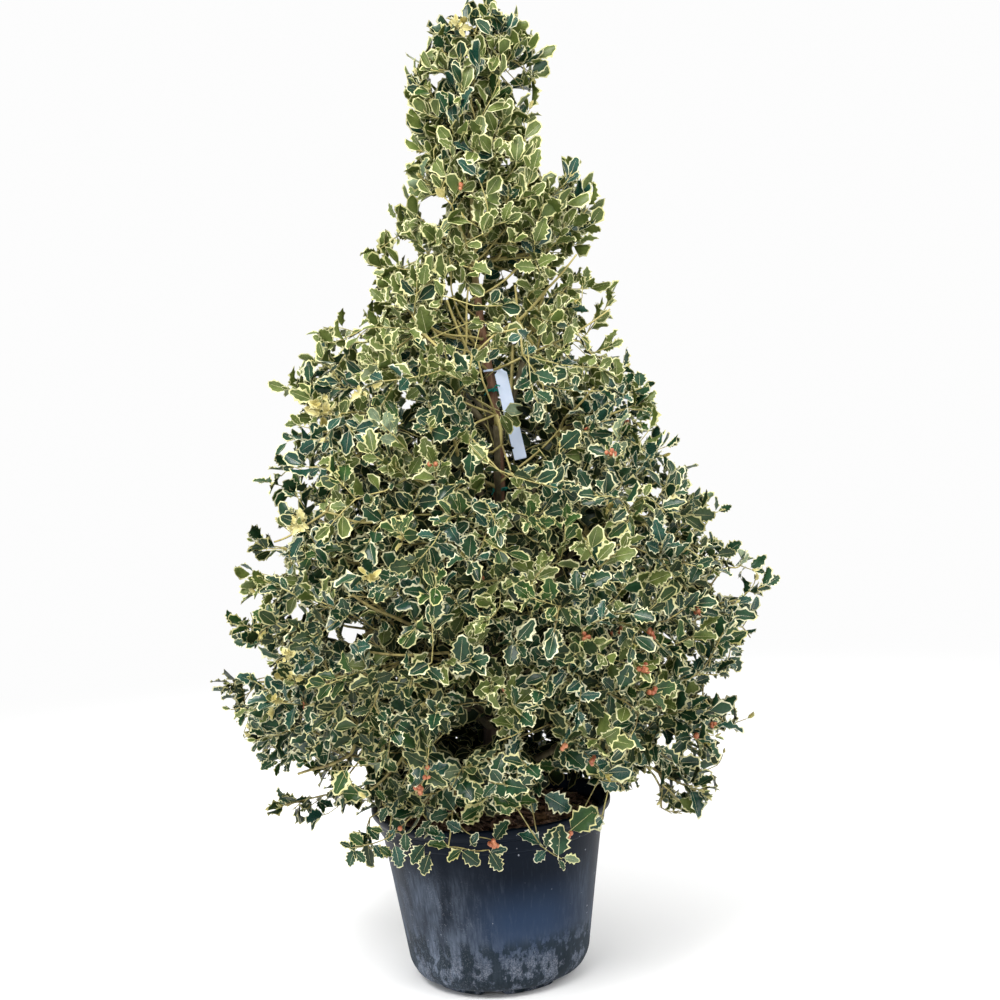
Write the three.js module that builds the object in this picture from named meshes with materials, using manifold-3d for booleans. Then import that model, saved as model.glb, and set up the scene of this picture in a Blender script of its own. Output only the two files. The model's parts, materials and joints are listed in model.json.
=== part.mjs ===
// A silver-margined holly grown as a loose pyramid in a round nursery pot.
// Millimetres, +Z up. The origin is the centre of the pot's flat underside, and the front is -Y.
// A leaning trunk carries one bough for each mass of foliage in the lower tiers. The masses share the
// crown between them: each has the part of it that lies nearest to the mass's own stem.

import * as THREE from "three";
import { mergeVertices } from "three/addons/utils/BufferGeometryUtils.js";
import Module from "manifold-3d";

const wasm = await Module();
wasm.setup();

// ---------------------------------------------------------------- driving dimensions

const GAP = 0.3; // between pieces that touch
const CLEAR = 1.5; // foliage keeps this clear of limbs, pot, label and ties
const TURN = 2 * Math.PI;
const GOLDEN_ANGLE = TURN * (1 - 1 / 1.618034);
const UP = new THREE.Vector3(0, 0, 1);

const POT = {
  height: 400,
  lipRadius: 280,
  collarHeight: 54,
  bodyRadius: 257, // just under the collar
  heelRadius: 210, // where the wall turns in to the foot
  heelHeight: 46,
  footRadius: 166,
  footHeight: 13,
  wall: 5,
  floor: 18,
  facets: 27,
  notches: 6, // drainage slots through the rim of the foot
  notchWidth: 74,
  notchHeight: 8,
  notchReach: 25,
};
const SOIL = { top: 366, edgeDrop: 14, shoulder: 60, clearance: 0.5 };

const TRUNK = {
  // height and sideways place of its axis, from a little under the soil, where it is cut off flat
  line: [
    [SOIL.top - 30, -6],
    [700, 24],
    [1000, 54],
    [1200, 70],
    [1320, 66],
    [1480, 46],
    [1660, 34],
    [1860, 46],
    [2020, 66],
    [2110, 86],
  ],
  footRadius: 21,
  tipRadius: 4.5,
  taper: 0.85,
  flare: 14,
  flareHeight: 40,
  buttresses: 3,
  buttressDepth: 0.3, // of the flare
  sides: 9,
  rings: 14,
  ringSpread: 1.3,
};

// Height, and how far the leaf tips reach to the left (-X) and to the right.
const CROWN = [
  [404, -400, 490],
  [470, -430, 515],
  [550, -570, 600],
  [650, -622, 600],
  [760, -590, 625],
  [880, -570, 645],
  [960, -560, 615],
  [1060, -520, 575],
  [1160, -485, 515],
  [1270, -445, 480],
  [1360, -430, 440],
  [1440, -395, 385],
  [1505, -355, 350],
  [1575, -225, 345],
  [1660, -205, 290],
  [1730, -155, 312],
  [1810, -135, 335],
  [1880, -108, 290],
  [1930, -100, 205],
  [2050, -112, 205],
  [2130, -85, 215],
  [2190, -50, 200],
  [2235, 55, 165],
  [2262, 105, 130],
];
const SWAY = { depth: 30, length: 200 }; // the crown's middle wanders to the front and back

// One row for each tier of masses: height of their hearts, how many, the angle of the first, and the
// height where their boughs leave the trunk. A tier with no boughs grows straight from the trunk.
const TIERS = [
  { name: "skirt", height: 575, count: 6, turn: 0.5, boughFrom: 440 },
  { name: "low", height: 800, count: 6, turn: 0.0, boughFrom: 590 },
  { name: "middle", height: 1035, count: 5, turn: 0.7, boughFrom: 790 },
  { name: "shoulder", height: 1270, count: 4, turn: 0.25, boughFrom: 1010 },
  { name: "neck", height: 1510, count: 3, turn: 0.0, boughFrom: 1260 },
  { name: "column", height: 1760, count: 3, turn: 0.05 },
  { name: "top", height: 1975, count: 2, turn: 1.3 },
  { name: "leader", height: 2165, count: 1, turn: 0.0 },
];
const LAST_BOUGH_TIER = TIERS.findLastIndex((tier) => tier.boughFrom);
const STAGGER = 18; // every second mass of a tier sits this much higher, the others lower
const BOUGH = {
  reach: 0.42, // of the crown's radius
  tipDrop: 20, // from the heart of the mass down to the bough's tip
  radius: 10.5,
  topRadius: 8,
  tipRadius: 6.2,
  sag: 0.1,
  sagAt: 0.55,
  sides: 5,
  rings: 3,
};
const HEART = { reach: 0.72, topReach: 0.5, rootDrop: 110, topDrop: 60, rise: 0.9 };

// Shoots that stand out of the crown: the tip of each, and how steeply it rises to that tip.
const STRAYS = [
  [-540, -60, 417, -0.15],
  [-330, -245, 312, -1.0],
  [-150, -355, 296, -1.1],
  [5, -372, 312, -1.1],
  [140, -355, 335, -1.0],
  [285, -280, 368, -0.8],
  [525, -125, 385, -0.5],
  [432, -150, 338, -0.9],
  [345, 235, 345, -0.8],
  [-80, 395, 335, -1.0],
  [696, 10, 880, 0.1],
  [631, 140, 552, -0.2],
  [-638, 0, 707, 0.0],
  [-566, -50, 973, 0.2],
  [-414, 30, 1409, 0.8],
  [350, 30, 1560, 0.9],
  [-190, 75, 1665, 1.0],
  [335, 20, 1800, 1.2],
  [205, 10, 2175, 2.2],
  [-85, -45, 2110, 1.5],
  [117, 0, 2256, 9.0],
];
const STRAY = { inset: 190, width: 78 };

// Ways through the crown where the sky shows, from an eye in front of the plant: place and radius.
const EYE = [64, -3004, 1159];
const SIGHT = { shares: [0.75, 1.25], sides: 6 };
const SKY_GAPS = [
  [-58, 1793, 26],
  [142, 2085, 18],
  [442, 1283, 16],
  [-301, 811, 18],
  [-432, 859, 22],
];

// The buds are the knots that the twigs run through.
const BUDS = {
  spacing: 168,
  inset: 84,
  inner: 0.45, // share of the crown's radius where the leafy shell starts
  shell: 0.1, // the shell's least thickness, as a share too
  fromFoot: 30,
  fromTop: 70,
  tries: 4000,
  seed: 20417,
};
const TWIG = {
  longest: 270,
  detour: 0.35,
  bend: 60,
  stub: 26,
  margin: 6,
  tipRadius: 2.8,
  pipe: 0.36,
  sides: 3,
};
// Each leaf stands for a spray of real ones, so it is larger than life.
const LEAF = {
  length: 160,
  width: 116,
  thickness: 5,
  fold: 10,
  droop: 12,
  sink: 2, // beyond the twig's axis
  spacing: 35, // along a twig
  firstAt: 0.6, // of a spacing
  linkTurn: 3, // steps of the golden angle from link to link
  splay: 0.95,
  tilt: 0.4, // how far the light that a leaf faces is tipped up
  beyondTwig: 12, // from here out, no leaf touches another
  margin: 1,
};
const LEAF_SIZES = [1, 0.82, 0.66]; // tried in turn
// Where the crown is slim, leaves are smaller and buds stand closer.
const SLIM = { crownRadius: 150, size: 0.72 };
const FULL = { crownRadius: 420, size: 1 };

const LABEL = {
  top: 1405,
  aside: 26,
  length: 216,
  width: 27,
  headLength: 30,
  neck: 8,
  thickness: 1.2,
  swing: 0.17,
};
// The label's own strap, which is looped round the trunk and back to the label's neck.
const LOOP = { height: 5, thickness: 1.2, endRadius: 2.6, segments: 3 };
const TIES = [
  { name: "upper_tie", height: 1356 },
  { name: "lower_tie", height: 1124 },
];
const TIE = { width: 7, thickness: 2, facets: 10 };

const COLOURS = {
  pot: 0x1c2530,
  soil: 0x2b1d15,
  bark: 0x5d5440,
  foliage: 0x3f6a42,
  label: 0xe9ebf2,
  tie: 0x0c6f5a,
};

// ---------------------------------------------------------------- small helpers

// A seeded stream of numbers from 0 to 1.
function randomFrom(seed) {
  let state = seed >>> 0;
  return () => {
    state = (state + 0x6d2b79f5) >>> 0;
    let t = Math.imul(state ^ (state >>> 15), state | 1);
    t ^= t + Math.imul(t ^ (t >>> 7), t | 61);
    return ((t ^ (t >>> 14)) >>> 0) / 4294967296;
  };
}

// The value in `column` at `height`, read off rows that are sorted by height.
function alongRows(rows, height, column) {
  const next = rows.findIndex((row) => row[0] > height);
  if (next < 1) return (next ? rows.at(-1) : rows[0])[column];
  const [low, high] = [rows[next - 1], rows[next]];
  return THREE.MathUtils.mapLinear(height, low[0], high[0], low[column], high[column]);
}

// The unit vector square to `way` that is nearest to `wanted`.
function squareTo(way, wanted) {
  return wanted.clone().addScaledVector(way, -wanted.dot(way)).normalize();
}

// A closed geometry as a manifold-3d solid.
function solidOf(geometry) {
  const bare = geometry.clone();
  bare.deleteAttribute("normal");
  bare.deleteAttribute("uv");
  const merged = mergeVertices(bare, 1e-3);
  const vertProperties = new Float32Array(merged.attributes.position.array);
  const triVerts = new Uint32Array(merged.index.array);
  return new wasm.Manifold(new wasm.Mesh({ numProp: 3, vertProperties, triVerts }));
}

// A manifold-3d solid as a geometry.
function geometryOf(solid) {
  const mesh = solid.getMesh();
  const geometry = new THREE.BufferGeometry();
  geometry.setAttribute("position", new THREE.BufferAttribute(new Float32Array(mesh.vertProperties), 3));
  geometry.setIndex(new THREE.BufferAttribute(new Uint32Array(mesh.triVerts), 1));
  geometry.computeVertexNormals();
  return geometry;
}

// The largest body of a solid, without loose scraps and sealed hollows.
function mainBody(solid) {
  return solid.decompose().reduce((a, b) => (b.volume() > a.volume() ? b : a));
}

// A tapering limb with closed ends: a cylinder whose rings are moved onto the points of a line.
function limb(points, radiusAt, sides) {
  const rings = points.length - 1;
  const geometry = new THREE.CylinderGeometry(1, 1, 1, sides, rings);
  const position = geometry.attributes.position;
  const ways = points.map((point, i) =>
    points[Math.min(i + 1, rings)].clone().sub(points[Math.max(i - 1, 0)]).normalize(),
  );
  const normals = [squareTo(ways[0], new THREE.Vector3(0.8, 0.5, 0.33))];
  for (let i = 1; i <= rings; i++) normals.push(squareTo(ways[i], normals[i - 1]));
  const binormals = ways.map((way, i) => way.clone().cross(normals[i]));
  for (let v = 0; v < position.count; v++) {
    const ring = Math.round((position.getY(v) + 0.5) * rings);
    const [x, z] = [position.getX(v), position.getZ(v)];
    const radius = radiusAt(ring, Math.atan2(z, x));
    const place = points[ring].clone();
    place.addScaledVector(normals[ring], z * radius).addScaledVector(binormals[ring], x * radius);
    position.setXYZ(v, place.x, place.y, place.z);
  }
  return solidOf(geometry);
}

// A solid turned about the Z axis from rows of radius and height.
function turned(profile, facets) {
  const lathe = new THREE.LatheGeometry(profile.map(([r, z]) => new THREE.Vector2(r, z)), facets);
  return solidOf(lathe.rotateX(Math.PI / 2));
}

// ---------------------------------------------------------------- shapes of crown and trunk

// Middle and radius of the crown's round section at a height.
function crownAt(height) {
  const [left, right] = [alongRows(CROWN, height, 1), alongRows(CROWN, height, 2)];
  const middle = new THREE.Vector3((left + right) / 2, SWAY.depth * Math.sin(height / SWAY.length), height);
  return { middle, radius: (right - left) / 2 };
}

// The point of the crown at a height, an angle, and a share of its radius.
function crownSpot(height, angle, share) {
  const { middle, radius } = crownAt(height);
  middle.x += share * radius * Math.cos(angle);
  middle.y += share * radius * Math.sin(angle);
  return middle;
}

// The way out of the crown at a point, tipped upwards.
function outward(point, tip) {
  const way = point.clone().sub(crownAt(point.z).middle).normalize();
  return way.setZ(tip).normalize();
}

// The size of leaves at a height, as a share of the full size.
function sizeAt(height) {
  const radius = THREE.MathUtils.clamp(crownAt(height).radius, SLIM.crownRadius, FULL.crownRadius);
  return THREE.MathUtils.mapLinear(radius, SLIM.crownRadius, FULL.crownRadius, SLIM.size, FULL.size);
}

function trunkPoint(height) {
  return new THREE.Vector3(alongRows(TRUNK.line, height, 1), 0, height);
}

function trunkRadius(height) {
  const share = (height - TRUNK.line[0][0]) / (TRUNK.line.at(-1)[0] - TRUNK.line[0][0]);
  return THREE.MathUtils.lerp(TRUNK.footRadius, TRUNK.tipRadius, Math.min(share, 1) ** TRUNK.taper);
}

// ---------------------------------------------------------------- pot, soil and limbs

function makePot() {
  const collarFoot = POT.height - POT.collarHeight;
  let pot = turned(
    [
      [0, 0],
      [POT.footRadius - 3, 0],
      [POT.footRadius, POT.footHeight],
      [POT.heelRadius - 12, POT.heelHeight - 22],
      [POT.heelRadius, POT.heelHeight],
      [POT.bodyRadius, collarFoot],
      [POT.bodyRadius + 6, collarFoot + 1],
      [POT.lipRadius - 6, POT.height - 22],
      [POT.lipRadius, POT.height - 9],
      [POT.lipRadius - 3, POT.height],
      [POT.lipRadius - 14, POT.height],
      [POT.bodyRadius + 4 - POT.wall, collarFoot + 12],
      [POT.heelRadius - POT.wall, POT.heelHeight],
      [POT.heelRadius - POT.wall - 14, POT.floor],
      [0, POT.floor],
    ],
    POT.facets,
  );
  for (let i = 0; i < POT.notches; i++) {
    const notch = new THREE.BoxGeometry(2 * POT.notchReach, POT.notchWidth, 2 * POT.notchHeight);
    notch.translate(POT.footRadius, 0, 0).rotateZ(((i + 0.4) * TURN) / POT.notches);
    pot = pot.subtract(solidOf(notch));
  }
  return pot;
}

// The compost fills the pot to a little under its lip, and rises gently to the trunk.
function makeSoil() {
  const inner = (radius) => radius - POT.wall - SOIL.clearance;
  return turned(
    [
      [0, POT.floor + GAP],
      [inner(POT.heelRadius) - 14, POT.floor + GAP],
      [inner(POT.heelRadius), POT.heelHeight],
      [inner(POT.bodyRadius), POT.height - POT.collarHeight - 6],
      [inner(POT.bodyRadius) - 2, SOIL.top - SOIL.edgeDrop],
      [SOIL.shoulder, SOIL.top],
      [0, SOIL.top],
    ],
    POT.facets,
  );
}

// Heights of the trunk's rings, which are closer near its foot.
function trunkRings() {
  const [low, high] = [TRUNK.line[0][0], TRUNK.line.at(-1)[0]];
  const ringAt = (_, i) => low + (high - low) * (i / TRUNK.rings) ** TRUNK.ringSpread;
  return Array.from({ length: TRUNK.rings + 1 }, ringAt);
}

// The middle of the faceted trunk at a height, which lies on a chord between two of its rings.
function trunkCore(height) {
  const rows = trunkRings().map((ring) => [ring, trunkPoint(ring).x]);
  return new THREE.Vector3(alongRows(rows, height, 1), 0, height);
}

// With `extra`, the same trunk a little fatter, to keep others clear of it.
function makeTrunk(extra) {
  const heights = trunkRings();
  const radiusAt = (ring, angle) => {
    const flare = TRUNK.flare * Math.min(Math.exp((SOIL.top - heights[ring]) / TRUNK.flareHeight), 1);
    const lobes = 1 + TRUNK.buttressDepth * Math.cos(TRUNK.buttresses * angle);
    return trunkRadius(heights[ring]) + flare * lobes + extra;
  };
  const ground = new THREE.BoxGeometry(POT.height, POT.height, SOIL.top);
  ground.translate(0, 0, SOIL.top / 2 + GAP);
  return limb(heights.map(trunkPoint), radiusAt, TRUNK.sides).subtract(solidOf(ground));
}

// A bough leaves the trunk, sags a little below the straight line, and rises again to its tip.
function boughLine(from, tip) {
  const bend = from.clone().lerp(tip, BOUGH.sagAt);
  bend.z -= BOUGH.sag * from.distanceTo(tip);
  return new THREE.QuadraticBezierCurve3(from, bend, tip).getPoints(BOUGH.rings);
}

function makeBough(mass, extra) {
  const radiusAt = (ring) => THREE.MathUtils.lerp(mass.boughRadius, BOUGH.tipRadius, ring / BOUGH.rings);
  return limb(mass.bough, (ring) => radiusAt(ring) + extra, BOUGH.sides);
}

// ---------------------------------------------------------------- the plan of the crown

// A mass of a tier with boughs: it starts at its bough's tip.
function boughMass(tier, name, height, angle, level) {
  const from = trunkPoint(tier.boughFrom + height - tier.height);
  const tip = crownSpot(height - BOUGH.tipDrop, angle, BOUGH.reach);
  const bough = boughLine(from, tip);
  const way = bough.at(-1).clone().sub(bough.at(-2)).normalize();
  const root = tip.clone().addScaledVector(way, GAP);
  const axis = new THREE.Line3(root, crownSpot(height, angle, HEART.reach));
  const boughRadius = THREE.MathUtils.lerp(BOUGH.radius, BOUGH.topRadius, level / LAST_BOUGH_TIER);
  return { name, bough, boughName: name.replace("foliage", "bough"), boughRadius, root, way, axis };
}

// A mass that grows straight from the trunk, or from its tip.
function trunkMass(tier, name, height, angle) {
  const top = TRUNK.line.at(-1)[0];
  if (tier.count === 1) {
    const root = trunkPoint(top).setZ(top + GAP);
    return { name, root, way: UP.clone(), axis: new THREE.Line3(root, crownSpot(height, 0, 0)) };
  }
  const root = trunkPoint(Math.min(height - HEART.rootDrop, top - HEART.topDrop));
  const way = new THREE.Vector3(Math.cos(angle), Math.sin(angle), HEART.rise).normalize();
  return { name, root, way, axis: new THREE.Line3(root, crownSpot(height, angle, HEART.topReach)) };
}

function planMasses() {
  return TIERS.flatMap((tier, level) =>
    Array.from({ length: tier.count }, (_, i) => {
      const name = `${tier.name}_foliage_${i + 1}`;
      const height = tier.height + (tier.count > 1 ? STAGGER * (i % 2 ? 1 : -1) : 0);
      const angle = tier.turn + (i * TURN) / tier.count;
      const plan = tier.boughFrom ? boughMass : trunkMass;
      return plan(tier, name, height, angle, level);
    }),
  );
}

// Each stray has two buds on a straight line to its tip, and its last leaf is aimed along that line.
function planStrays() {
  return STRAYS.map(([x, y, z, rise]) => {
    const tip = new THREE.Vector3(x, y, z);
    const way = outward(tip, rise);
    const size = sizeAt(z);
    const back = (distance) => tip.clone().addScaledVector(way, -distance * size);
    const buds = [{ at: back(STRAY.inset) }, { at: back(LEAF.length), aim: way }];
    return { line: new THREE.Line3(buds[0].at, tip), buds };
  });
}

// Buds spread evenly through the crown's leafy shell: a try is kept where it has room.
function scatterBuds(strays) {
  const random = randomFrom(BUDS.seed);
  const [low, high] = [CROWN[0][0] + BUDS.fromFoot, CROWN.at(-1)[0] - BUDS.fromTop];
  const buds = strays.flatMap((stray) => stray.buds);
  for (let i = 0; i < BUDS.tries; i++) {
    const [height, angle, depth] = [low + (high - low) * random(), TURN * random(), random()];
    const size = sizeAt(height);
    const outer = 1 - (BUDS.inset * size) / crownAt(height).radius;
    const inner = Math.min(BUDS.inner, outer - BUDS.shell);
    const at = crownSpot(height, angle, Math.sqrt(inner ** 2 + (outer ** 2 - inner ** 2) * depth));
    if (buds.every((other) => other.at.distanceTo(at) > BUDS.spacing * size ** 2)) buds.push({ at });
  }
  return buds;
}

// ---------------------------------------------------------------- foliage

const nearest = new THREE.Vector3();
const distanceTo = (line, point) => line.closestPointToPoint(point, true, nearest).distanceTo(point);

// Whether a point, with `margin` round it, lies in a mass's own space.
function inSpace(point, mass, crown, margin) {
  const limit = distanceTo(mass.axis, point) + 2 * margin;
  const others = crown.masses.filter((other) => other !== mass);
  if (others.some((other) => distanceTo(other.axis, point) <= limit)) return false;
  const { middle, radius } = crownAt(point.z);
  if (point.z > CROWN[0][0] && point.distanceTo(middle) < radius) return true;
  return crown.strays.some((stray) => distanceTo(stray.line, point) < STRAY.width);
}

// Twigs of one mass, as a tree of nodes. The bud that is cheapest to reach is joined next: the cost is
// the link's length, a share of the way back to the root, and the bend away from the twig it leaves.
function growTwigs(mass, buds, fits) {
  const stub = TWIG.stub + (mass.bough ? 0 : trunkRadius(mass.root.z));
  const knee = mass.root.clone().addScaledVector(mass.way, stub);
  const nodes = [
    { at: mass.root, way: mass.way, parent: -1, run: 0 },
    { at: knee, way: mass.way, parent: 0, run: TWIG.stub },
  ];
  const open = new Set(buds);
  for (;;) {
    let best = null;
    for (const bud of open) {
      for (let parent = 1; parent < nodes.length; parent++) {
        const node = nodes[parent];
        if (node.bud?.aim) continue; // a shoot's tip, which carries nothing more
        const span = node.at.distanceTo(bud.at);
        const way = bud.at.clone().sub(node.at).divideScalar(span);
        const cost = span + TWIG.detour * node.run + TWIG.bend * (1 - way.dot(node.way));
        if (span > TWIG.longest || cost >= (best?.cost ?? Infinity) || !fits(node.at, bud.at)) continue;
        best = { bud, at: bud.at, way, span, parent, run: node.run + span, cost };
      }
    }
    if (!best) return nodes;
    nodes.push(best);
    open.delete(best.bud);
  }
}

// Radii by the pipe rule: a twig's section grows with the number of tips that it carries.
function twigRadii(nodes) {
  const carried = nodes.map(() => 0);
  for (let i = nodes.length - 1; i > 0; i--) {
    carried[i] = Math.max(carried[i], 1);
    carried[nodes[i].parent] += carried[i];
  }
  return carried.map((tips) => TWIG.tipRadius * Math.max(tips, 1) ** TWIG.pipe);
}

// The tree of nodes as lines: at a fork the thickest twig carries the line on, the others start there.
function twigLines(nodes, radii) {
  const lines = [];
  const follow = (line) => {
    const last = line.at(-1);
    const kids = nodes.flatMap((node, i) => (node.parent === last ? [i] : []));
    kids.sort((a, b) => radii[b] - radii[a]);
    kids.slice(1).forEach((kid) => follow([last, kid]));
    if (kids.length) follow([...line, kids[0]]);
    else lines.push(line);
  };
  follow([0]);
  return lines.filter((line) => line.length > 1);
}

// A leaf of eight faces: an octahedron drawn out along `way` from `root`, folded along its midrib, with
// its tip drooping.
function makeLeaf(root, way, normal, size) {
  const side = normal.clone().cross(way);
  const leaf = new THREE.OctahedronGeometry(1);
  const position = leaf.attributes.position;
  for (let v = 0; v < position.count; v++) {
    const [x, y, z] = [position.getX(v), position.getY(v), position.getZ(v)];
    const along = (x + 1) / 2;
    const lift = Math.abs(y) * LEAF.fold * size - LEAF.droop * size * along ** 2;
    position.setXYZ(
      v,
      along * LEAF.length * size - LEAF.sink,
      (y * LEAF.width * size) / 2,
      (z * LEAF.thickness) / 2 + lift,
    );
  }
  leaf.applyMatrix4(new THREE.Matrix4().makeBasis(way, side, normal));
  return leaf.translate(root.x, root.y, root.z);
}

// Where the leaves of a twig's link sit and which way they point: on round the twig by the golden angle
// from leaf to leaf, and one straight ahead at a tip.
function leafSpots(node, from, isTip, number) {
  const count = Math.max(1, Math.floor(node.span / (LEAF.spacing * sizeAt(node.at.z))));
  const light = outward(node.at, LEAF.tilt);
  const across = squareTo(node.way, light);
  const spots = [];
  for (let k = 0; k < count; k++) {
    const side = across.clone().applyAxisAngle(node.way, GOLDEN_ANGLE * (number + k));
    const way = node.way.clone().multiplyScalar(Math.cos(LEAF.splay));
    way.addScaledVector(side, Math.sin(LEAF.splay));
    const root = from.clone().lerp(node.at, (k + LEAF.firstAt) / count);
    spots.push({ root, way, normal: squareTo(way, light) });
  }
  const way = node.bud.aim ?? node.way;
  if (isTip) spots.push({ root: node.at, way, normal: squareTo(way, light), rank: node.bud.aim ? 2 : 1 });
  return spots;
}

// The leaves of a mass, those at the tips first. One that would leave the mass's space, or touch a limb
// or another leaf, is made smaller, and skipped if that doesn't help.
function makeLeaves(nodes, fits) {
  const spots = nodes.flatMap((node, i) => {
    const isTip = !nodes.some((other) => other.parent === i);
    return i < 2 ? [] : leafSpots(node, nodes[node.parent].at, isTip, LEAF.linkTurn * i);
  });
  spots.sort((a, b) => (b.rank ?? 0) - (a.rank ?? 0));
  const leaves = [];
  for (const { root, way, normal } of spots) {
    for (const size of LEAF_SIZES) {
      const geometry = makeLeaf(root, way, normal, size * sizeAt(root.z));
      if (!fits(geometry)) continue;
      const leaf = solidOf(geometry);
      const beyondTwig = leaf.translate(way.clone().multiplyScalar(LEAF.beyondTwig).toArray());
      if (leaves.some((other) => !other.intersect(beyondTwig).isEmpty())) continue;
      leaves.push(leaf);
      break;
    }
  }
  return leaves;
}

// One mass of foliage, fused into a single solid that stands clear of the trunk.
function makeFoliage(mass, crown) {
  const fitsTwig = (from, to) => {
    const middle = from.clone().lerp(to, 0.5);
    if (![middle, to].every((point) => inSpace(point, mass, crown, TWIG.margin))) return false;
    return crown.obstacles.intersect(limb([from, to], () => 2 * TWIG.tipRadius, TWIG.sides)).isEmpty();
  };
  const fitsLeaf = (leaf) => {
    const position = leaf.attributes.position;
    const corners = Array.from({ length: position.count }, (_, v) =>
      new THREE.Vector3().fromBufferAttribute(position, v),
    );
    const middles = corners.map((corner, v) => corner.clone().lerp(corners[(v + 1) % corners.length], 0.5));
    if (![...corners, ...middles].every((point) => inSpace(point, mass, crown, LEAF.margin))) return false;
    return crown.obstacles.intersect(solidOf(leaf)).isEmpty();
  };
  const nodes = growTwigs(mass, crown.buds.filter((bud) => inSpace(bud.at, mass, crown, 0)), fitsTwig);
  const radii = twigRadii(nodes);
  const twigs = twigLines(nodes, radii).map((line) =>
    limb(line.map((i) => nodes[i].at), (ring) => radii[line[Math.max(ring, 1)]], TWIG.sides),
  );
  const leaves = makeLeaves(nodes, fitsLeaf);
  return mainBody(wasm.Manifold.union([...twigs, ...leaves]).subtract(crown.fatTrunk));
}

// ---------------------------------------------------------------- label and ties

// The outline of a strap that is drawn tight round two discs: middle and radius of each.
function strapOutline(from, fromRadius, to, toRadius) {
  const reach = to.clone().sub(from);
  const angle = Math.atan2(reach.y, reach.x);
  const half = Math.acos((fromRadius - toRadius) / Math.hypot(reach.x, reach.y));
  const outline = new THREE.Shape();
  outline.absarc(from.x, from.y, fromRadius, angle + half, angle - half + TURN, false);
  outline.absarc(to.x, to.y, toRadius, angle - half, angle + half, false);
  return outline;
}

// A stiff plastic strip with a narrow neck, hanging in front of the trunk and swung to one side. Its
// strap is looped round the trunk.
function makeLabel() {
  const { top, aside, length, width, headLength, neck, thickness, swing } = LABEL;
  const outline = new THREE.Shape();
  outline.moveTo(-neck / 2, 0);
  outline.lineTo(-width / 2, -headLength);
  outline.lineTo(-width / 2, -length);
  outline.lineTo(width / 2, -length);
  outline.lineTo(width / 2, -headLength);
  outline.lineTo(neck / 2, 0);
  const strip = new THREE.ExtrudeGeometry(outline, { depth: thickness, bevelEnabled: false });
  const core = trunkCore(top);
  const front = trunkRadius(top - length) + TIE.thickness + 2 * GAP;
  const end = new THREE.Vector3(core.x + aside, -front, top);
  strip.rotateX(Math.PI / 2).rotateY(-swing).translate(end.x, end.y, end.z);

  const inner = trunkRadius(top) + GAP;
  const loop = strapOutline(core, inner + LOOP.thickness, end, LOOP.endRadius);
  loop.holes.push(strapOutline(core, inner, end, LOOP.endRadius - LOOP.thickness));
  const settings = { depth: LOOP.height, bevelEnabled: false, curveSegments: LOOP.segments };
  const strap = new THREE.ExtrudeGeometry(loop, settings).translate(0, 0, top - LOOP.height);
  return solidOf(strap).subtract(makeTrunk(GAP)).add(solidOf(strip));
}

// A green band round the trunk.
function makeTie(height) {
  const outer = trunkRadius(height) + GAP + TIE.thickness;
  const band = turned(
    [
      [0, -TIE.width / 2],
      [outer, -TIE.width / 2],
      [outer, TIE.width / 2],
      [0, TIE.width / 2],
    ],
    TIE.facets,
  );
  return band.translate(trunkCore(height).toArray()).subtract(makeTrunk(GAP));
}

// ---------------------------------------------------------------- the whole plant

// What foliage keeps clear of: the limbs, the pot and what is over its soil, the label and the ties,
// and the ways to the sky.
function makeObstacles(masses, trims) {
  const guard = turned(
    [
      [0, 0],
      [POT.footRadius + 30, 0],
      [POT.bodyRadius + 9, POT.height - POT.collarHeight],
      [POT.lipRadius + CLEAR, POT.height - 24],
      [POT.lipRadius + CLEAR, POT.height + CLEAR],
      [0, POT.height + CLEAR],
    ],
    POT.facets,
  );
  const boughs = masses.filter((mass) => mass.bough).map((mass) => makeBough(mass, CLEAR));
  const eye = new THREE.Vector3(...EYE);
  const sightlines = SKY_GAPS.map(([x, z, radius]) => {
    const spot = new THREE.Vector3(x, 0, z);
    const ends = SIGHT.shares.map((share) => eye.clone().lerp(spot, share));
    return limb(ends, (ring) => radius * SIGHT.shares[ring], SIGHT.sides);
  });
  return wasm.Manifold.union([guard, makeTrunk(CLEAR), ...boughs, ...sightlines, ...trims]);
}

function makePlant() {
  const plant = new THREE.Group();
  const addNode = (name, solid, color, roughness) => {
    const material = new THREE.MeshStandardMaterial({ color, roughness, metalness: 0 });
    const mesh = new THREE.Mesh(geometryOf(solid), material);
    mesh.name = name;
    plant.add(mesh);
  };
  const masses = planMasses();
  const fatTrunk = makeTrunk(GAP);
  const label = makeLabel();
  const ties = TIES.map((tie) => makeTie(tie.height));

  addNode("pot", makePot(), COLOURS.pot, 0.5);
  addNode("soil", makeSoil(), COLOURS.soil, 0.95);
  addNode("trunk", makeTrunk(0), COLOURS.bark, 0.8);
  addNode("label", label, COLOURS.label, 0.4);
  TIES.forEach((tie, i) => addNode(tie.name, ties[i], COLOURS.tie, 0.5));
  for (const mass of masses.filter((each) => each.bough)) {
    addNode(mass.boughName, mainBody(makeBough(mass, 0).subtract(fatTrunk)), COLOURS.bark, 0.8);
  }

  const strays = planStrays();
  const buds = scatterBuds(strays);
  const crown = { masses, strays, buds, fatTrunk, obstacles: makeObstacles(masses, [label, ...ties]) };
  masses.forEach((mass) => addNode(mass.name, makeFoliage(mass, crown), COLOURS.foliage, 0.35));
  return plant;
}

export default makePlant();
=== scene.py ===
"""Dresses a potted silver-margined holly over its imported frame.

The plant grows in millimetres, by the rule that gave its solids, carried on to finer twigs. A surface
becomes a mesh in metres. The origin is the centre of the pot's underside, +Z is up, the front is -Y.
"""

import json
import logging
import math
from collections.abc import Callable
from dataclasses import dataclass, field
from enum import Enum

import bpy
import numpy as np
from mathutils import Matrix, Vector

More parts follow.
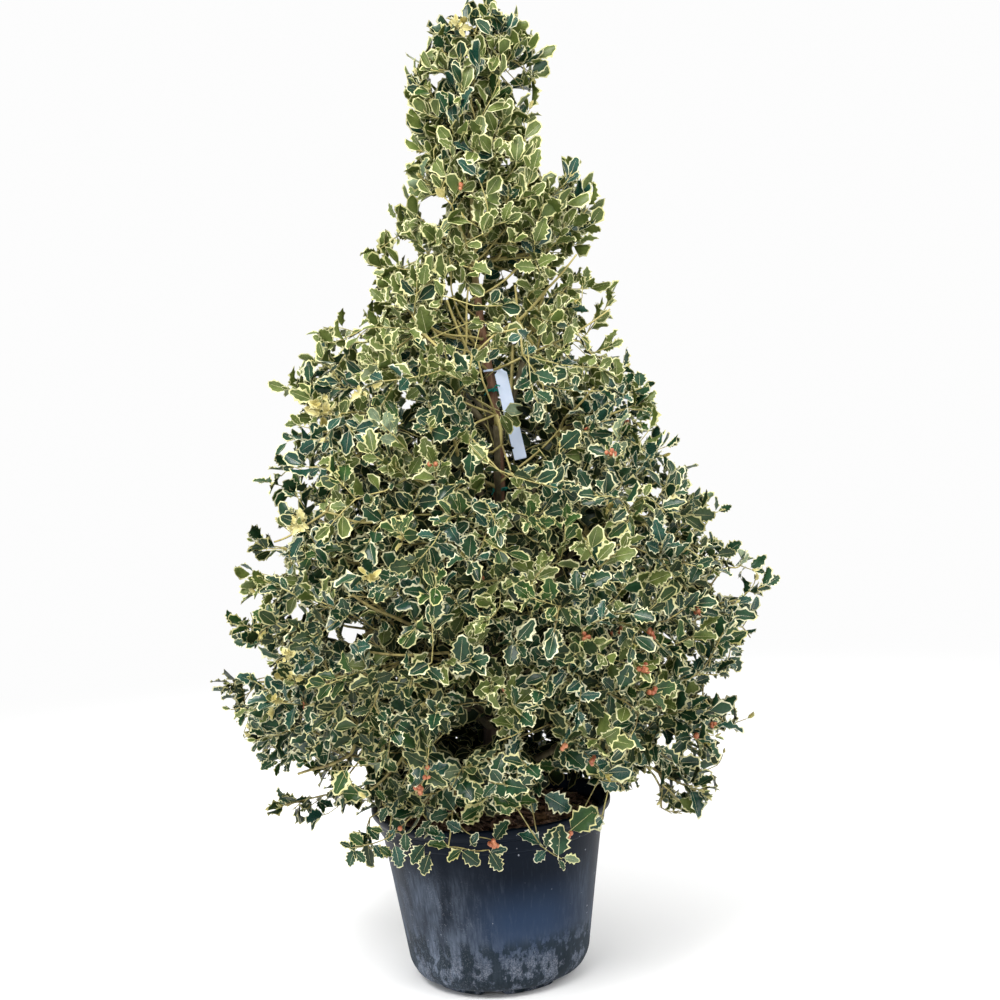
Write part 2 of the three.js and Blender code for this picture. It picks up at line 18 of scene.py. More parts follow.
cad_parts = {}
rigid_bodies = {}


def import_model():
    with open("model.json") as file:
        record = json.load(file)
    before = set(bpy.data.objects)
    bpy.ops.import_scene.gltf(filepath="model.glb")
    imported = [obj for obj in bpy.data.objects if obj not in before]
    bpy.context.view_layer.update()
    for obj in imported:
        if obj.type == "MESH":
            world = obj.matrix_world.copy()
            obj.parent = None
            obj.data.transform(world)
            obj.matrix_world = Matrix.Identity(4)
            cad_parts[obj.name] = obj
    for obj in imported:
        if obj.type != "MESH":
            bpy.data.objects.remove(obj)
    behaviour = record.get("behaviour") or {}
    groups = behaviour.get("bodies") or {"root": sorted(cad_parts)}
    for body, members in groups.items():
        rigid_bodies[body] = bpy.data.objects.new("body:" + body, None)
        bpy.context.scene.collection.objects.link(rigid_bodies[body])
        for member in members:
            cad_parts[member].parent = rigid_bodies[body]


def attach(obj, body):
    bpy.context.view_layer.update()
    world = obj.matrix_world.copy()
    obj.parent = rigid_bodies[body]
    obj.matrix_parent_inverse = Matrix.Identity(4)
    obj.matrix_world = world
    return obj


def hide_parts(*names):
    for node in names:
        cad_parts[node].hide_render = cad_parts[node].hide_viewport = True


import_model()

Array = np.ndarray
MM = 0.001
TURN = 2 * math.pi
GOLDEN_ANGLE = TURN * (1 - 1 / 1.618034)
UP = np.array([0.0, 0.0, 1.0])
EYE = np.array([64.0, -3004.0, 1159.0])

# Heights in rising order, and the value that holds at each of them. Between them it changes evenly.
Steps = tuple[tuple[float, ...], tuple[float, ...]]

# Shares of red, green and blue.
Colour = tuple[float, float, float]

# Rows of a table. Its class says what the columns are.
Rows = tuple[tuple[float, ...], ...]

# A cone of open air before a hollow: x and z where it is seen, its radius there, the depth y of its foot,
# and how much it widens with each millimetre towards the front.
Cone = tuple[float, float, float, float, float]

logging.basicConfig(level=logging.INFO, format="%(message)s")
log = logging.getLogger("holly")


# ------------------------------------------------------------------ vectors and noise


def unit(vectors: Array) -> Array:
    """Scales each row to length one."""
    return vectors / np.maximum(np.linalg.norm(vectors, axis=-1, keepdims=True), 1e-9)


def square_to(ways: Array, wanted: Array) -> Array:
    """Takes away from each wanted row its part along the way, and scales what is left to length one."""
    return unit(wanted - np.sum(wanted * ways, axis=-1, keepdims=True) * ways)


def level_ways(angles: Array | float) -> Array:
    """Gives level unit vectors at these angles from +X."""
    return np.stack([np.cos(angles), np.sin(angles), 0 * angles], axis=-1)


def turn_about(vectors: Array, axes: Array, angles: Array) -> Array:
    """Turns each row about its unit axis: v cos a + (axis x v) sin a + axis (axis . v)(1 - cos a)."""
    cosine, sine = np.cos(angles)[..., None], np.sin(angles)[..., None]
    along = np.sum(vectors * axes, axis=-1, keepdims=True)
    return vectors * cosine + np.cross(axes, vectors) * sine + axes * along * (1 - cosine)


def lattice_noise(points: Array, scale: float, seed: int = 0) -> Array:
    """Gives smooth noise from -1 to 1 at each point.

    A hashed number sits on each corner of a lattice whose cells are `scale` wide. Between the eight
    corners of a cell the numbers are blended with the weights 3t^2 - 2t^3.

    Args:
        points: places, of shape (..., 3).
        scale: width of a cell.
        seed: another seed gives another noise.

    Returns:
        One number for each point.
    """
    cells = points / scale
    base = np.floor(cells).astype(np.int64)
    blend = cells - base
    blend = blend * blend * (3 - 2 * blend)
    total = np.zeros(points.shape[:-1])
    for corner in range(8):
        offset = np.array([(corner >> k) & 1 for k in range(3)])
        key = (base + offset) @ np.array([73856093, 19349663, 83492791]) + seed * 7919
        key = ((key ^ (key >> 13)) * 1274126177) & 0xFFFFFFFF
        value = ((key ^ (key >> 16)) & 0xFFFF) / 32767.5 - 1
        total += value * np.prod(np.where(offset == 1, blend, 1 - blend), axis=-1)
    return total


def line_distances(points: Array, starts: Array, ends: Array) -> Array:
    """Measures from each point to the nearest place on each line.

    Args:
        points: places, of shape (n, 3).
        starts: where the lines start, of shape (m, 3).
        ends: where they end.

    Returns:
        Distances of shape (n, m).
    """
    spans = ends - starts
    shares = np.einsum("nmk,mk->nm", points[:, None] - starts, spans) / np.sum(spans**2, axis=1)
    nearest = starts + np.clip(shares, 0, 1)[..., None] * spans
    return np.linalg.norm(points[:, None] - nearest, axis=-1)


class Stream:
    """A seeded stream of numbers from 0 to 1, the same one as the solids were grown with."""

    def __init__(self, seed: int) -> None:
        """Starts the stream at a seed."""
        self.state = seed & 0xFFFFFFFF

    def draw(self) -> float:
        """Returns the next number."""
        self.state = (self.state + 0x6D2B79F5) & 0xFFFFFFFF
        t = ((self.state ^ (self.state >> 15)) * (self.state | 1)) & 0xFFFFFFFF
        t ^= (t + (((t ^ (t >> 7)) * (t | 61)) & 0xFFFFFFFF)) & 0xFFFFFFFF
        return ((t ^ (t >> 14)) & 0xFFFFFFFF) / 4294967296


# ------------------------------------------------------------------ surfaces and meshes


@dataclass
class Surface:
    """Points and faces that are gathered for one mesh, in millimetres."""

    points: list[Array] = field(default_factory=list)
    faces: list[list[list[int]]] = field(default_factory=list)
    count: int = 0

    def add(self, points: Array, *faces: Array) -> "Surface":
        """Adds a patch.

        Args:
            points: its points, of shape (n, 3).
            faces: arrays of indexes into those points, one array for each number of corners.

        Returns:
            The surface itself.
        """
        self.points.append(points.reshape(-1, 3))
        self.faces.extend((part + self.count).tolist() for part in faces if len(part))
        self.count += len(self.points[-1])
        return self

    def tube(self, path: Array, profile: Array, start: Array) -> None:
        """Adds a tube with closed ends, whose profile is carried along a path by carry_profile."""
        self.add(carry_profile(path, profile, start), *tube_faces(len(path), profile.shape[-2]))

    @property
    def triangles(self) -> int:
        """Counts the triangles that the faces come to."""
        return sum(len(part) * (len(part[0]) - 2) for part in self.faces)

    def piece(self, name: str, finish: "Finish", slot: str, replaces: list[str], smooth: bool = True) -> None:
        """Makes the mesh, dresses it, and seats it in the frame.

        Args:
            name: the piece's name.
            finish: its material.
            slot: the record's slot that the finish belongs to; not used.
            replaces: the frame's nodes that the piece stands for.
            smooth: whether its faces are shaded smoothly.
        """
        mesh = bpy.data.meshes.new(name)
        faces = [face for part in self.faces for face in part]
        mesh.from_pydata((np.concatenate(self.points) * MM).tolist(), [], faces)
        mesh.polygons.foreach_set("use_smooth", np.full(len(faces), smooth))
        mesh.materials.append(finish.material())
        mesh.update()
        thing = bpy.data.objects.new(name, mesh)
        bpy.context.scene.collection.objects.link(thing)
        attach(thing, "root")
        if replaces:
            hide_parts(*replaces)
        log.info("%s: %d triangles", name, self.triangles)


def tube_faces(rings: int, sides: int) -> tuple[Array, Array]:
    """Lists the faces of a tube with its two ends closed.

    The points are the rings one after the other, then the middle of the first end and of the last.

    Args:
        rings: number of rings.
        sides: points on each ring.

    Returns:
        The quads between the rings, and the triangles of the two fans.
    """
    ring, side = np.meshgrid(np.arange(rings - 1), np.arange(sides), indexing="ij")
    here, beside = ring * sides + side, ring * sides + (side + 1) % sides
    quads = np.stack([here, beside, beside + sides, here + sides], axis=-1).reshape(-1, 4)
    around = np.arange(sides)
    next_one, last, middle = (around + 1) % sides, (rings - 1) * sides, rings * sides
    first_fan = np.stack([next_one, around, np.full(sides, middle)], axis=-1)
    last_fan = np.stack([last + around, last + next_one, np.full(sides, middle + 1)], axis=-1)
    return quads, np.concatenate([first_fan, last_fan])


def path_sides(path: Array, start: Array) -> tuple[Array, Array]:
    """Carries two side vectors along a path, with as little twist as can be.

    Args:
        path: points, of shape (n, 3).
        start: wanted direction of the first side vector.

    Returns:
        The first and the second side vector at each point, square to the path and to each other.
    """
    ways = unit(np.gradient(path, axis=0))
    sides = [square_to(ways[0], start)]
    for way in ways[1:]:
        sides.append(square_to(way, sides[-1]))
    first = np.array(sides)
    return first, np.cross(ways, first)


def carry_profile(path: Array, profile: Array, start: Array) -> Array:
    """Carries a closed profile along a path: point = path + a first side + b second side.

    Args:
        path: points, of shape (n, 3).
        profile: (a, b) of each point of the profile, of shape (k, 2) or (n, k, 2), anticlockwise.
        start: wanted direction of the profile's first axis.

    Returns:
        Rings of points, then the middles of the two ends, for tube_faces.
    """
    first, second = path_sides(path, start)
    spots = np.broadcast_to(profile, (len(path),) + profile.shape[-2:])
    rings = path[:, None] + spots[..., :1] * first[:, None] + spots[..., 1:] * second[:, None]
    return np.concatenate([rings.reshape(-1, 3), path[:1], path[-1:]])


def circle(sides: int) -> Array:
    """Lays points evenly on a circle of radius one, anticlockwise."""
    angles = np.arange(sides) * TURN / sides
    return np.stack([np.cos(angles), np.sin(angles)], axis=-1)


def smooth_path(points: Array, steps: int) -> Array:
    """Draws a smooth line through points.

    Between two points a and b the line is the cubic that leaves a along half the way from its
    neighbour before it to b, and meets b in the same manner.

    Args:
        points: what the line runs through, of shape (n, 3).
        steps: how many parts each stretch is cut into.

    Returns:
        The points of the smooth line.
    """
    if len(points) < 3 or steps < 2:
        return points
    slopes = np.gradient(points, axis=0)
    t = (np.arange(steps) / steps)[None, :, None]
    here, there = points[:-1, None], points[1:, None]
    leave, meet = slopes[:-1, None], slopes[1:, None]
    line = (2 * t**3 - 3 * t**2 + 1) * here + (t**3 - 2 * t**2 + t) * leave
    line = line + (3 * t**2 - 2 * t**3) * there + (t**3 - t**2) * meet
    return np.concatenate([line.reshape(-1, 3), points[-1:]])


def revolved(profile: Array, sides: int) -> tuple[Array, Array, Array]:
    """Turns rows of radius and height about the Z axis.

    Args:
        profile: rows from the middle of the underside outwards, up and round to the middle again.
        sides: points on each ring.

    Returns:
        Points and faces of the closed skin.
    """
    rows = profile[1:-1]
    ring = circle(sides)
    flat = rows[:, None, :1] * ring
    height = np.broadcast_to(rows[:, None, 1:], flat.shape[:2] + (1,))
    points = np.concatenate([flat, height], axis=-1).reshape(-1, 3)
    poles = np.array([[0, 0, profile[0, 1]], [0, 0, profile[-1, 1]]])
    return np.concatenate([points, poles]), *tube_faces(len(rows), sides)


def rounded_profile(corners: list[tuple[float, float, float]], steps: int = 5) -> Array:
    """Rounds the corners of a profile.

    Each corner with a rounding r becomes the parabola that leaves the edge before it at a distance r
    from the corner and joins the edge after it at the same distance.

    Args:
        corners: rows of radius, height and rounding.
        steps: points on each rounded corner.

    Returns:
        Rows of radius and height.
    """
    rows = np.array(corners)
    spots, sizes = rows[:, :2], rows[:, 2]
    line = [spots[:1]]
    t = np.linspace(0, 1, steps)[:, None]
    for before, corner, after, size in zip(spots[:-2], spots[1:-1], spots[2:], sizes[1:-1]):
        leave = corner + unit(before - corner) * size
        join = corner + unit(after - corner) * size
        curve = (1 - t) ** 2 * leave + 2 * t * (1 - t) * corner + t**2 * join
        line.append(curve if size else corner[None])
    return np.concatenate([*line, spots[-1:]])


# ------------------------------------------------------------------ shader maths

# Where a Mix node keeps its share, its two colours and the mixed colour, among sockets of the same names.
MIX_SHARE, MIX_FIRST, MIX_SECOND, MIX_RESULT = 0, 6, 7, 2


class Signal:
    """A socket that Python's operators work on: each expression adds its Math nodes."""

    def __init__(self, shader: "Shader", socket: bpy.types.NodeSocket) -> None:
        """Wraps a socket of a shader's tree."""
        self.shader = shader
        self.socket = socket

    def _math(self, operation: str, first: "Signal | float", second: "Signal | float") -> "Signal":
        """Adds a Math node with two inputs."""
        return self.shader.node("ShaderNodeMath", {"operation": operation}, {0: first, 1: second}).out()

    def __add__(self, other: "Signal | float") -> "Signal":
        """Adds."""
        return self._math("ADD", self, other)

    __radd__ = __add__

    def __rsub__(self, other: float) -> "Signal":
        """Subtracts the signal from a number."""
        return self._math("SUBTRACT", other, self)

    def __mul__(self, other: "Signal | float") -> "Signal":
        """Multiplies."""
        return self._math("MULTIPLY", self, other)

    def step(self, low: float, high: float) -> "Signal":
        """Rises smoothly from 0 at `low` to 1 at `high`, or falls where `low` is the higher one."""
        sockets = {"Value": self, "From Min": min(low, high), "From Max": max(low, high)}
        rise = self.shader.node("ShaderNodeMapRange", {"interpolation_type": "SMOOTHSTEP"}, sockets).out()
        return rise if low < high else 1 - rise


class NodeBox:
    """A shader node with its outputs as signals."""

    def __init__(self, shader: "Shader", node: bpy.types.Node) -> None:
        """Wraps a node."""
        self.shader = shader
        self.node = node

    def out(self, name: str | int = 0) -> Signal:
        """Gives an output as a signal."""
        return Signal(self.shader, self.node.outputs[name])


class Shader:
    """A material's node tree, with one method that adds any node."""

    def __init__(self, name: str) -> None:
        """Starts a material with a bare Principled shader.

        Args:
            name: the material's name.
        """
        self.material = bpy.data.materials.new(name)
        self.material.use_nodes = True
        self.tree = self.material.node_tree
        self.surface = self.tree.nodes["Principled BSDF"]

    def node(self, kind: str, settings: dict[str, object], sockets: dict[str | int, object]) -> NodeBox:
        """Adds a node.

        Args:
            kind: the node's type.
            settings: its own settings, which are set first.
            sockets: values or signals for its inputs.

        Returns:
            The node.
        """
        node = self.tree.nodes.new(kind)
        for key, value in settings.items():
            setattr(node, key, value)
        for key, value in sockets.items():
            self.feed(node.inputs[key], value)
        return NodeBox(self, node)

    def feed(self, socket: bpy.types.NodeSocket, value: object) -> None:
        """Links a signal to a socket, or sets the socket's own value.

        Args:
            socket: an input of a node.
            value: a signal, a colour or a number.
        """
        if isinstance(value, Signal):
            self.tree.links.new(value.socket, socket)
        elif isinstance(value, tuple) and len(value) == 3 and socket.type == "RGBA":
            socket.default_value = (*value, 1)
        else:
            socket.default_value = value

    def places(self, stretch: tuple[float, float, float] = (1, 1, 1)) -> Signal:
        """Gives Object coordinates, stretched by a factor on each axis."""
        spot = self.node("ShaderNodeTexCoord", {}, {}).out("Object")
        return self.node("ShaderNodeMapping", {}, {"Vector": spot, "Scale": stretch}).out()

    def axes(self) -> NodeBox:
        """Gives Object coordinates with an output for each axis."""
        return self.node("ShaderNodeSeparateXYZ", {}, {0: self.places()})

    def noise(self, places: Signal, scale: float, detail: float = 3, roughness: float = 0.55) -> Signal:
        """Gives noise from 0 to 1 with about `scale` lumps to a metre."""
        sockets = {"Vector": places, "Scale": scale, "Detail": detail, "Roughness": roughness}
        return self.node("ShaderNodeTexNoise", {}, sockets).out()

    def blend(self, share: Signal | float, first: object, second: object) -> Signal:
        """Mixes two colours: the first where the share is 0, the second where it is 1."""
        sockets = {MIX_SHARE: share, MIX_FIRST: first, MIX_SECOND: second}
        return self.node("ShaderNodeMix", {"data_type": "RGBA"}, sockets).out(MIX_RESULT)

    def bump(self, height: Signal, depth: float, strength: float = 1.0) -> None:
        """Feeds the shader's normal from a height from 0 to 1, `depth` metres deep."""
        sockets = {"Height": height, "Distance": depth, "Strength": strength}
        self.feed(self.surface.inputs["Normal"], self.node("ShaderNodeBump", {}, sockets).out())

    def dress(self, **inputs: object) -> bpy.types.Material:
        """Feeds the Principled shader, with an underscore for each space in a socket's name."""
        for key, value in inputs.items():
            self.feed(self.surface.inputs[key.replace("_", " ")], value)
        return self.material


class Finish:
    """A finish of the plant, pot or label. Each kind paints its own material."""

    def material(self) -> bpy.types.Material:
        """Makes the finish's material."""
        raise NotImplementedError


@dataclass(frozen=True)
class LeafFinish(Finish):
    """Waxy leaf: two near tones in soft patches, faint veins, and a gloss that comes and goes."""

    name: str
    tone: Colour
    other: Colour
    gloss: float = 0.3
    patch: float = 22.0
    grain: float = 240.0
    darkening: float = 0.28
    shine: float = 0.3

    def material(self) -> bpy.types.Material:
        """Makes the leaf's material."""
        shader = Shader(self.name)
        places = shader.places()
        patches = shader.noise(places, self.patch, 2)
        fine = shader.noise(places, self.grain, 2)
        colour = shader.blend(patches.step(0.35, 0.65), self.tone, self.other)
        darker = shader.blend(self.darkening, colour, (0, 0, 0))
        colour = shader.blend(fine.step(0.3, 0.75), colour, darker)
        shader.bump(fine, 0.0006, 0.35)
        rough = fine * 0.16 + (self.gloss - 0.06)
        return shader.dress(Base_Color=colour, Roughness=rough, Specular_IOR_Level=self.shine)


@dataclass(frozen=True)
class BarkFinish(Finish):
    """Bark or young rind: two tones in streaks, with fine grain. The lift turns it paler with height."""

    name: str
    tone: Colour
    other: Colour
    rough: float = 0.75
    depth: float = 0.0012
    lift: float = 0.0

    def material(self) -> bpy.types.Material:
        """Makes the bark's material."""
        shader = Shader(self.name)
        streaks = shader.noise(shader.places((1, 1, 0.25)), 70, 4)
        grain = shader.noise(shader.places(), 420, 3)
        height = shader.axes().out("Z")
        shift = height.step(0.7, 1.6) * self.lift
        colour = shader.blend((streaks + shift).step(0.36, 0.64), self.tone, self.other)
        colour = shader.blend(grain.step(0.55, 0.8) * 0.5, colour, tuple(c * 0.45 for c in self.tone))
        shader.bump(streaks * 0.6 + grain * 0.4, self.depth, 0.8)
        return shader.dress(Base_Color=colour, Roughness=grain * 0.2 + (self.rough - 0.1))


@dataclass(frozen=True)
class TrunkFinish(Finish):
    """The stem's bark: grey-brown at the foot, reddish higher up, and olive rind near the tip."""

    name: str = "stem_bark"
    foot: Colour = (0.14, 0.10, 0.075)
    middle: Colour = (0.29, 0.155, 0.092)
    rind: Colour = (0.42, 0.37, 0.14)
    crack: Colour = (0.02, 0.012, 0.008)
    bloom: Colour = (0.30, 0.27, 0.20)

    def material(self) -> bpy.types.Material:
        """Makes the stem's material."""
        shader = Shader(self.name)
        height = shader.axes().out("Z")
        streaks = shader.noise(shader.places((1, 1, 0.2)), 90, 4)
        grain = shader.noise(shader.places(), 420, 3)
        colour = shader.blend(height.step(0.8, 1.1), self.foot, self.middle)
        colour = shader.blend(height.step(1.54, 1.68), colour, self.rind)
        dark = shader.blend(0.4, colour, self.crack)
        colour = shader.blend(streaks.step(0.42, 0.62), dark, colour)
        colour = shader.blend(grain.step(0.6, 0.75) * 0.4, colour, self.bloom)
        shader.bump(streaks * 0.6 + grain * 0.4, 0.0015, 0.8)
        return shader.dress(Base_Color=colour, Roughness=grain * 0.2 + 0.65, Specular_IOR_Level=0.3)


@dataclass(frozen=True)
class PotFinish(Finish):
    """Dark moulded plastic: dust in fine streaks on one side and low down, scuffs and a few specks, with a
    painted bluish sheen.
    """

    name: str = "worn_pot_plastic"
    plastic: Colour = (0.002, 0.005, 0.011)
    # Painted sheen: a bluish reflection painted into the colour, not a colour of the plastic.
    sheen: Colour = (0.016, 0.031, 0.064)
    dust: Colour = (0.105, 0.130, 0.175)
    chalk: Colour = (0.30, 0.32, 0.37)
    scuff: Colour = (0.006, 0.012, 0.016)

    def material(self) -> bpy.types.Material:
        """Makes the pot's material."""
        shader = Shader(self.name)
        axes = shader.axes()
        across, back, height = axes.out("X"), axes.out("Y"), axes.out("Z")
        broad = shader.noise(shader.places((1, 1, 0.4)), 12, 4, 0.6)
        fine = shader.noise(shader.places((1, 1, 0.05)), 170, 4, 0.6)
        ragged = shader.noise(shader.places((1, 1, 0.6)), 32, 6, 0.72)
        grain = shader.noise(shader.places(), 300, 4, 0.7)
        specks = shader.noise(shader.places(), 95, 1)
        soft = shader.noise(shader.places((1, 1, 0.5)), 5, 1, 0.5)

        low = height.step(0.19, 0.05)
        left = across.step(0.04, -0.16) * height.step(0.35, 0.2)
        edge = across.step(0.13, 0.23) * height.step(0.34, 0.2)
        dusty = (left * 0.8 + low * 0.55 + edge * 0.4) * (broad.step(0.36, 0.6) * 0.65 + 0.35)
        under_rim = fine.step(0.52, 0.74) * height.step(0.36, 0.24) * 0.1
        dusty = dusty * (fine.step(0.34, 0.62) * 0.5 + 0.5) + under_rim
        streak = across.step(-0.128, -0.113) * across.step(-0.086, -0.101) * height.step(0.15, 0.19)
        dusty = dusty * (streak * ragged.step(0.3, 0.5) * -0.8 + 1)
        scuffed = height.step(0.155, 0.115) * ragged.step(0.46, 0.52)
        scraped = height.step(0.15, 0.04) * ragged.step(0.5, 0.42) * grain.step(0.44, 0.6)
        rubbed = left * grain.step(0.52, 0.64) * ragged.step(0.45, 0.58)

        # Painted reflection: a bluish sheen in a soft band on the front right of the wall. Painted light: the
        # same colour on the shadowed inner wall under the lip.
        band = across.step(-0.12, 0.03) * across.step(0.26, 0.1)
        glow = (soft * 0.5 + 0.7) * band * height.step(0.30, 0.17) * height.step(0.06, 0.14)
        inside = (across * across + back * back).step(0.0712, 0.0700) * height.step(0.362, 0.370)
        layers = (
            (glow, self.sheen),
            (inside * 0.7, self.sheen),
            (dusty, self.dust),
            (scuffed * 0.75, self.scuff),
            (scraped * 0.4 + rubbed * 0.25, self.chalk),
            (specks.step(0.775, 0.79) * 0.8, self.chalk),
        )
        colour = self.plastic
        for share, paint in layers:
            colour = shader.blend(share, colour, paint)
        shader.bump(grain * 0.5 + fine * 0.5, 0.0006, 0.5)
        return shader.dress(Base_Color=colour, Roughness=0.42 + dusty * 0.35, Specular_IOR_Level=0.07)


@dataclass(frozen=True)
class SmoothFinish(Finish):
    """Thin smooth plastic or a fruit's skin: one colour, a little uneven, with fine grain."""

    name: str
    tone: Colour
    other: Colour
    gloss: float = 0.4
    scale: float = 60.0
    depth: float = 0.0002
    glow: float = 0.0

    def material(self) -> bpy.types.Material:
        """Makes the material. The glow is painted light: the strip gives off light in its own tone, which
        brightens it in the leaves' shade.
        """
        shader = Shader(self.name)
        clouds = shader.noise(shader.places(), self.scale, 3)
        grain = shader.noise(shader.places(), self.scale * 9, 2)
        shader.bump(grain, self.depth, 0.6)
        colour = shader.blend(clouds.step(0.35, 0.68), self.tone, self.other)
        rough = clouds * 0.12 + (self.gloss - 0.06)
        light = {"Emission_Color": self.tone, "Emission_Strength": self.glow}
        return shader.dress(Base_Color=colour, Roughness=rough, **light)


class Bark(Enum):
    """Kinds of bark and rind."""

    TRUNK = TrunkFinish()
    LIMB = BarkFinish("limb_rind", (0.17, 0.13, 0.045), (0.44, 0.37, 0.13), 0.6, 0.0006, 0.2)
    BOUGH = BarkFinish("bough_bark", (0.10, 0.085, 0.045), (0.17, 0.14, 0.075), 0.75, 0.001)
    TWIG = BarkFinish("twig_rind", (0.21, 0.165, 0.05), (0.42, 0.37, 0.13), 0.6, 0.0005, 0.15)
    CHIP = BarkFinish("bark_chips", (0.17, 0.09, 0.060), (0.42, 0.27, 0.18), 0.85, 0.0015)
    COMPOST = BarkFinish("compost", (0.070, 0.038, 0.026), (0.21, 0.125, 0.082), 0.95, 0.004)


class Tint(Enum):
    """How a spray of leaves is coloured: the finish of the blades and that of their margins."""

    DEEP = (
        LeafFinish("deep_green", (0.006, 0.028, 0.011), (0.019, 0.062, 0.026), shine=0.26),
        LeafFinish("cream_margin", (0.60, 0.56, 0.27), (0.74, 0.72, 0.48), 0.42),
    )
    SEA = (
        LeafFinish("sea_green", (0.008, 0.042, 0.027), (0.020, 0.079, 0.051), 0.26, shine=0.34),
        LeafFinish("pale_margin", (0.62, 0.61, 0.34), (0.75, 0.74, 0.54), 0.42),
    )
    MOSS = (
        LeafFinish("moss_green", (0.016, 0.048, 0.012), (0.038, 0.088, 0.020), shine=0.24),
        LeafFinish("butter_margin", (0.57, 0.53, 0.21), (0.71, 0.68, 0.36), 0.42),
    )
    OLIVE = (
        LeafFinish("olive_green", (0.070, 0.103, 0.020), (0.135, 0.172, 0.042), 0.38, shine=0.26),
        LeafFinish("straw_margin", (0.64, 0.62, 0.27), (0.79, 0.77, 0.45), 0.44),
    )
    # Pale grey-green: partly the paler underside of a leaf, partly a painted sheen of sky on glossy leaves.
    SAGE = (
        LeafFinish("sage_green", (0.11, 0.16, 0.085), (0.22, 0.28, 0.17), 0.4, shine=0.2),
        LeafFinish("light_margin", (0.60, 0.60, 0.28), (0.74, 0.73, 0.42), 0.44),
    )
    # Painted shade: SHADE gives dark copies of a green and a margin to leaves deep in the crown and to some
    # low sprays.
    SHADE = (
        LeafFinish("shade_green", (0.010, 0.023, 0.008), (0.024, 0.043, 0.013), 0.42, shine=0.16),
        LeafFinish("shade_margin", (0.30, 0.28, 0.11), (0.42, 0.40, 0.19), 0.45),
    )
    CREAM = (
        LeafFinish("cream_blade", (0.47, 0.39, 0.11), (0.68, 0.61, 0.27), 0.42),
        LeafFinish("cream_edge", (0.60, 0.53, 0.21), (0.74, 0.69, 0.38), 0.44),
    )

    @property
    def number(self) -> int:
        """Gives the tint's place among the tints."""
        return list(Tint).index(self)


DRY_LEAF = LeafFinish("dry_leaf", (0.14, 0.070, 0.030), (0.24, 0.135, 0.065), 0.7)
BERRY = SmoothFinish("berry_skin", (0.32, 0.080, 0.032), (0.50, 0.19, 0.085), 0.34, 90)
# Painted light: the label glows, which lifts it out of the shade of the leaves.
LABEL_PLASTIC = SmoothFinish("label_strip", (0.38, 0.44, 0.54), (0.43, 0.48, 0.58), 0.42, 30, glow=0.8)
TIE_PLASTIC = SmoothFinish("tie_strip", (0.006, 0.25, 0.19), (0.015, 0.34, 0.26), 0.4, 80)


# ------------------------------------------------------------------ crown and limbs


def on_sight(spots: Array, depths: Array) -> Array:
    """Gives the points that have these depths on the lines from the eye through the middle plane."""
    seen = np.stack([spots[:, 0], 0 * spots[:, 0], spots[:, 1]], axis=-1)
    return EYE + (seen - EYE) * ((depths - EYE[1]) / -EYE[1])[:, None]


def seen_at(points: Array) -> Array:
    """Gives x and z where the line from the eye to each point meets the plant's middle plane."""
    return (EYE + (points - EYE) * (-EYE[1] / (points[:, 1] - EYE[1]))[:, None])[:, [0, 2]]


def sight_gaps(points: Array, spots: Array) -> Array:
    """Measures how far points pass from lines of sight, scaled to the distance of the plant's middle.

    Args:
        points: places, of shape (n, 3).
        spots: where the lines cross the plane through the plant's middle, rows of x and z.

    Returns:
        Distances of shape (n, m), in millimetres of that plane.
    """
    return np.linalg.norm(seen_at(points)[:, None] - spots, axis=-1)


@dataclass(frozen=True)
class Crown:
    """The outline that the leaf tips reach: rows of height, left end and right end."""

    rows: Rows = (
        (404, -400, 490), (470, -430, 515), (550, -570, 600), (650, -622, 600), (760, -590, 625),
        (880, -570, 645), (960, -560, 615), (1060, -520, 575), (1160, -485, 515), (1270, -445, 480),
        (1360, -430, 440), (1440, -395, 385), (1505, -355, 350), (1575, -225, 345), (1660, -205, 290),
        (1730, -155, 312), (1810, -135, 335), (1880, -108, 290), (1930, -100, 205), (2050, -112, 205),
        (2130, -85, 215), (2190, -45, 190), (2235, 50, 155), (2258, 95, 125),
    )
    sway_depth: float = 30.0
    sway_length: float = 200.0
    slim_radius: float = 150.0
    slim_size: float = 0.72
    full_radius: float = 420.0

    def section(self, heights: Array | float) -> tuple[Array, Array]:
        """Gives the middle and the radius of the crown's round section at each height.

        Args:
            heights: one height or more.

        Returns:
            The middles, of shape (n, 3), and the radii.
        """
        z, left, right = np.array(self.rows, dtype=float).T
        low, high = np.interp(heights, z, left), np.interp(heights, z, right)
        depth = self.sway_depth * np.sin(heights / self.sway_length)
        return np.stack([(low + high) / 2, depth, heights], axis=-1), (high - low) / 2

    def spot(self, heights: Array | float, angles: Array | float, shares: Array | float) -> Array:
        """Gives places at a height, an angle and a share of the crown's radius."""
        middles, radii = self.section(heights)
        return middles + (shares * radii)[..., None] * level_ways(angles)

    def outward(self, points: Array, tip: Array | float) -> Array:
        """Gives the way out of the crown at each point, tipped upwards."""
        ways = unit(points - self.section(points[..., 2])[0])
        ways[..., 2] = tip
        return unit(ways)

    def size_at(self, heights: Array) -> Array:
        """Gives the size of leaves at each height, as a share of the full size."""
        radii = self.section(heights)[1]
        return np.interp(radii, [self.slim_radius, self.full_radius], [self.slim_size, 1.0])

    def holds(self, points: Array) -> Array:
        """Says whether each point lies in the crown."""
        middles, radii = self.section(points[:, 2])
        return (points[:, 2] > self.rows[0][0]) & (np.linalg.norm(points - middles, axis=1) < radii)


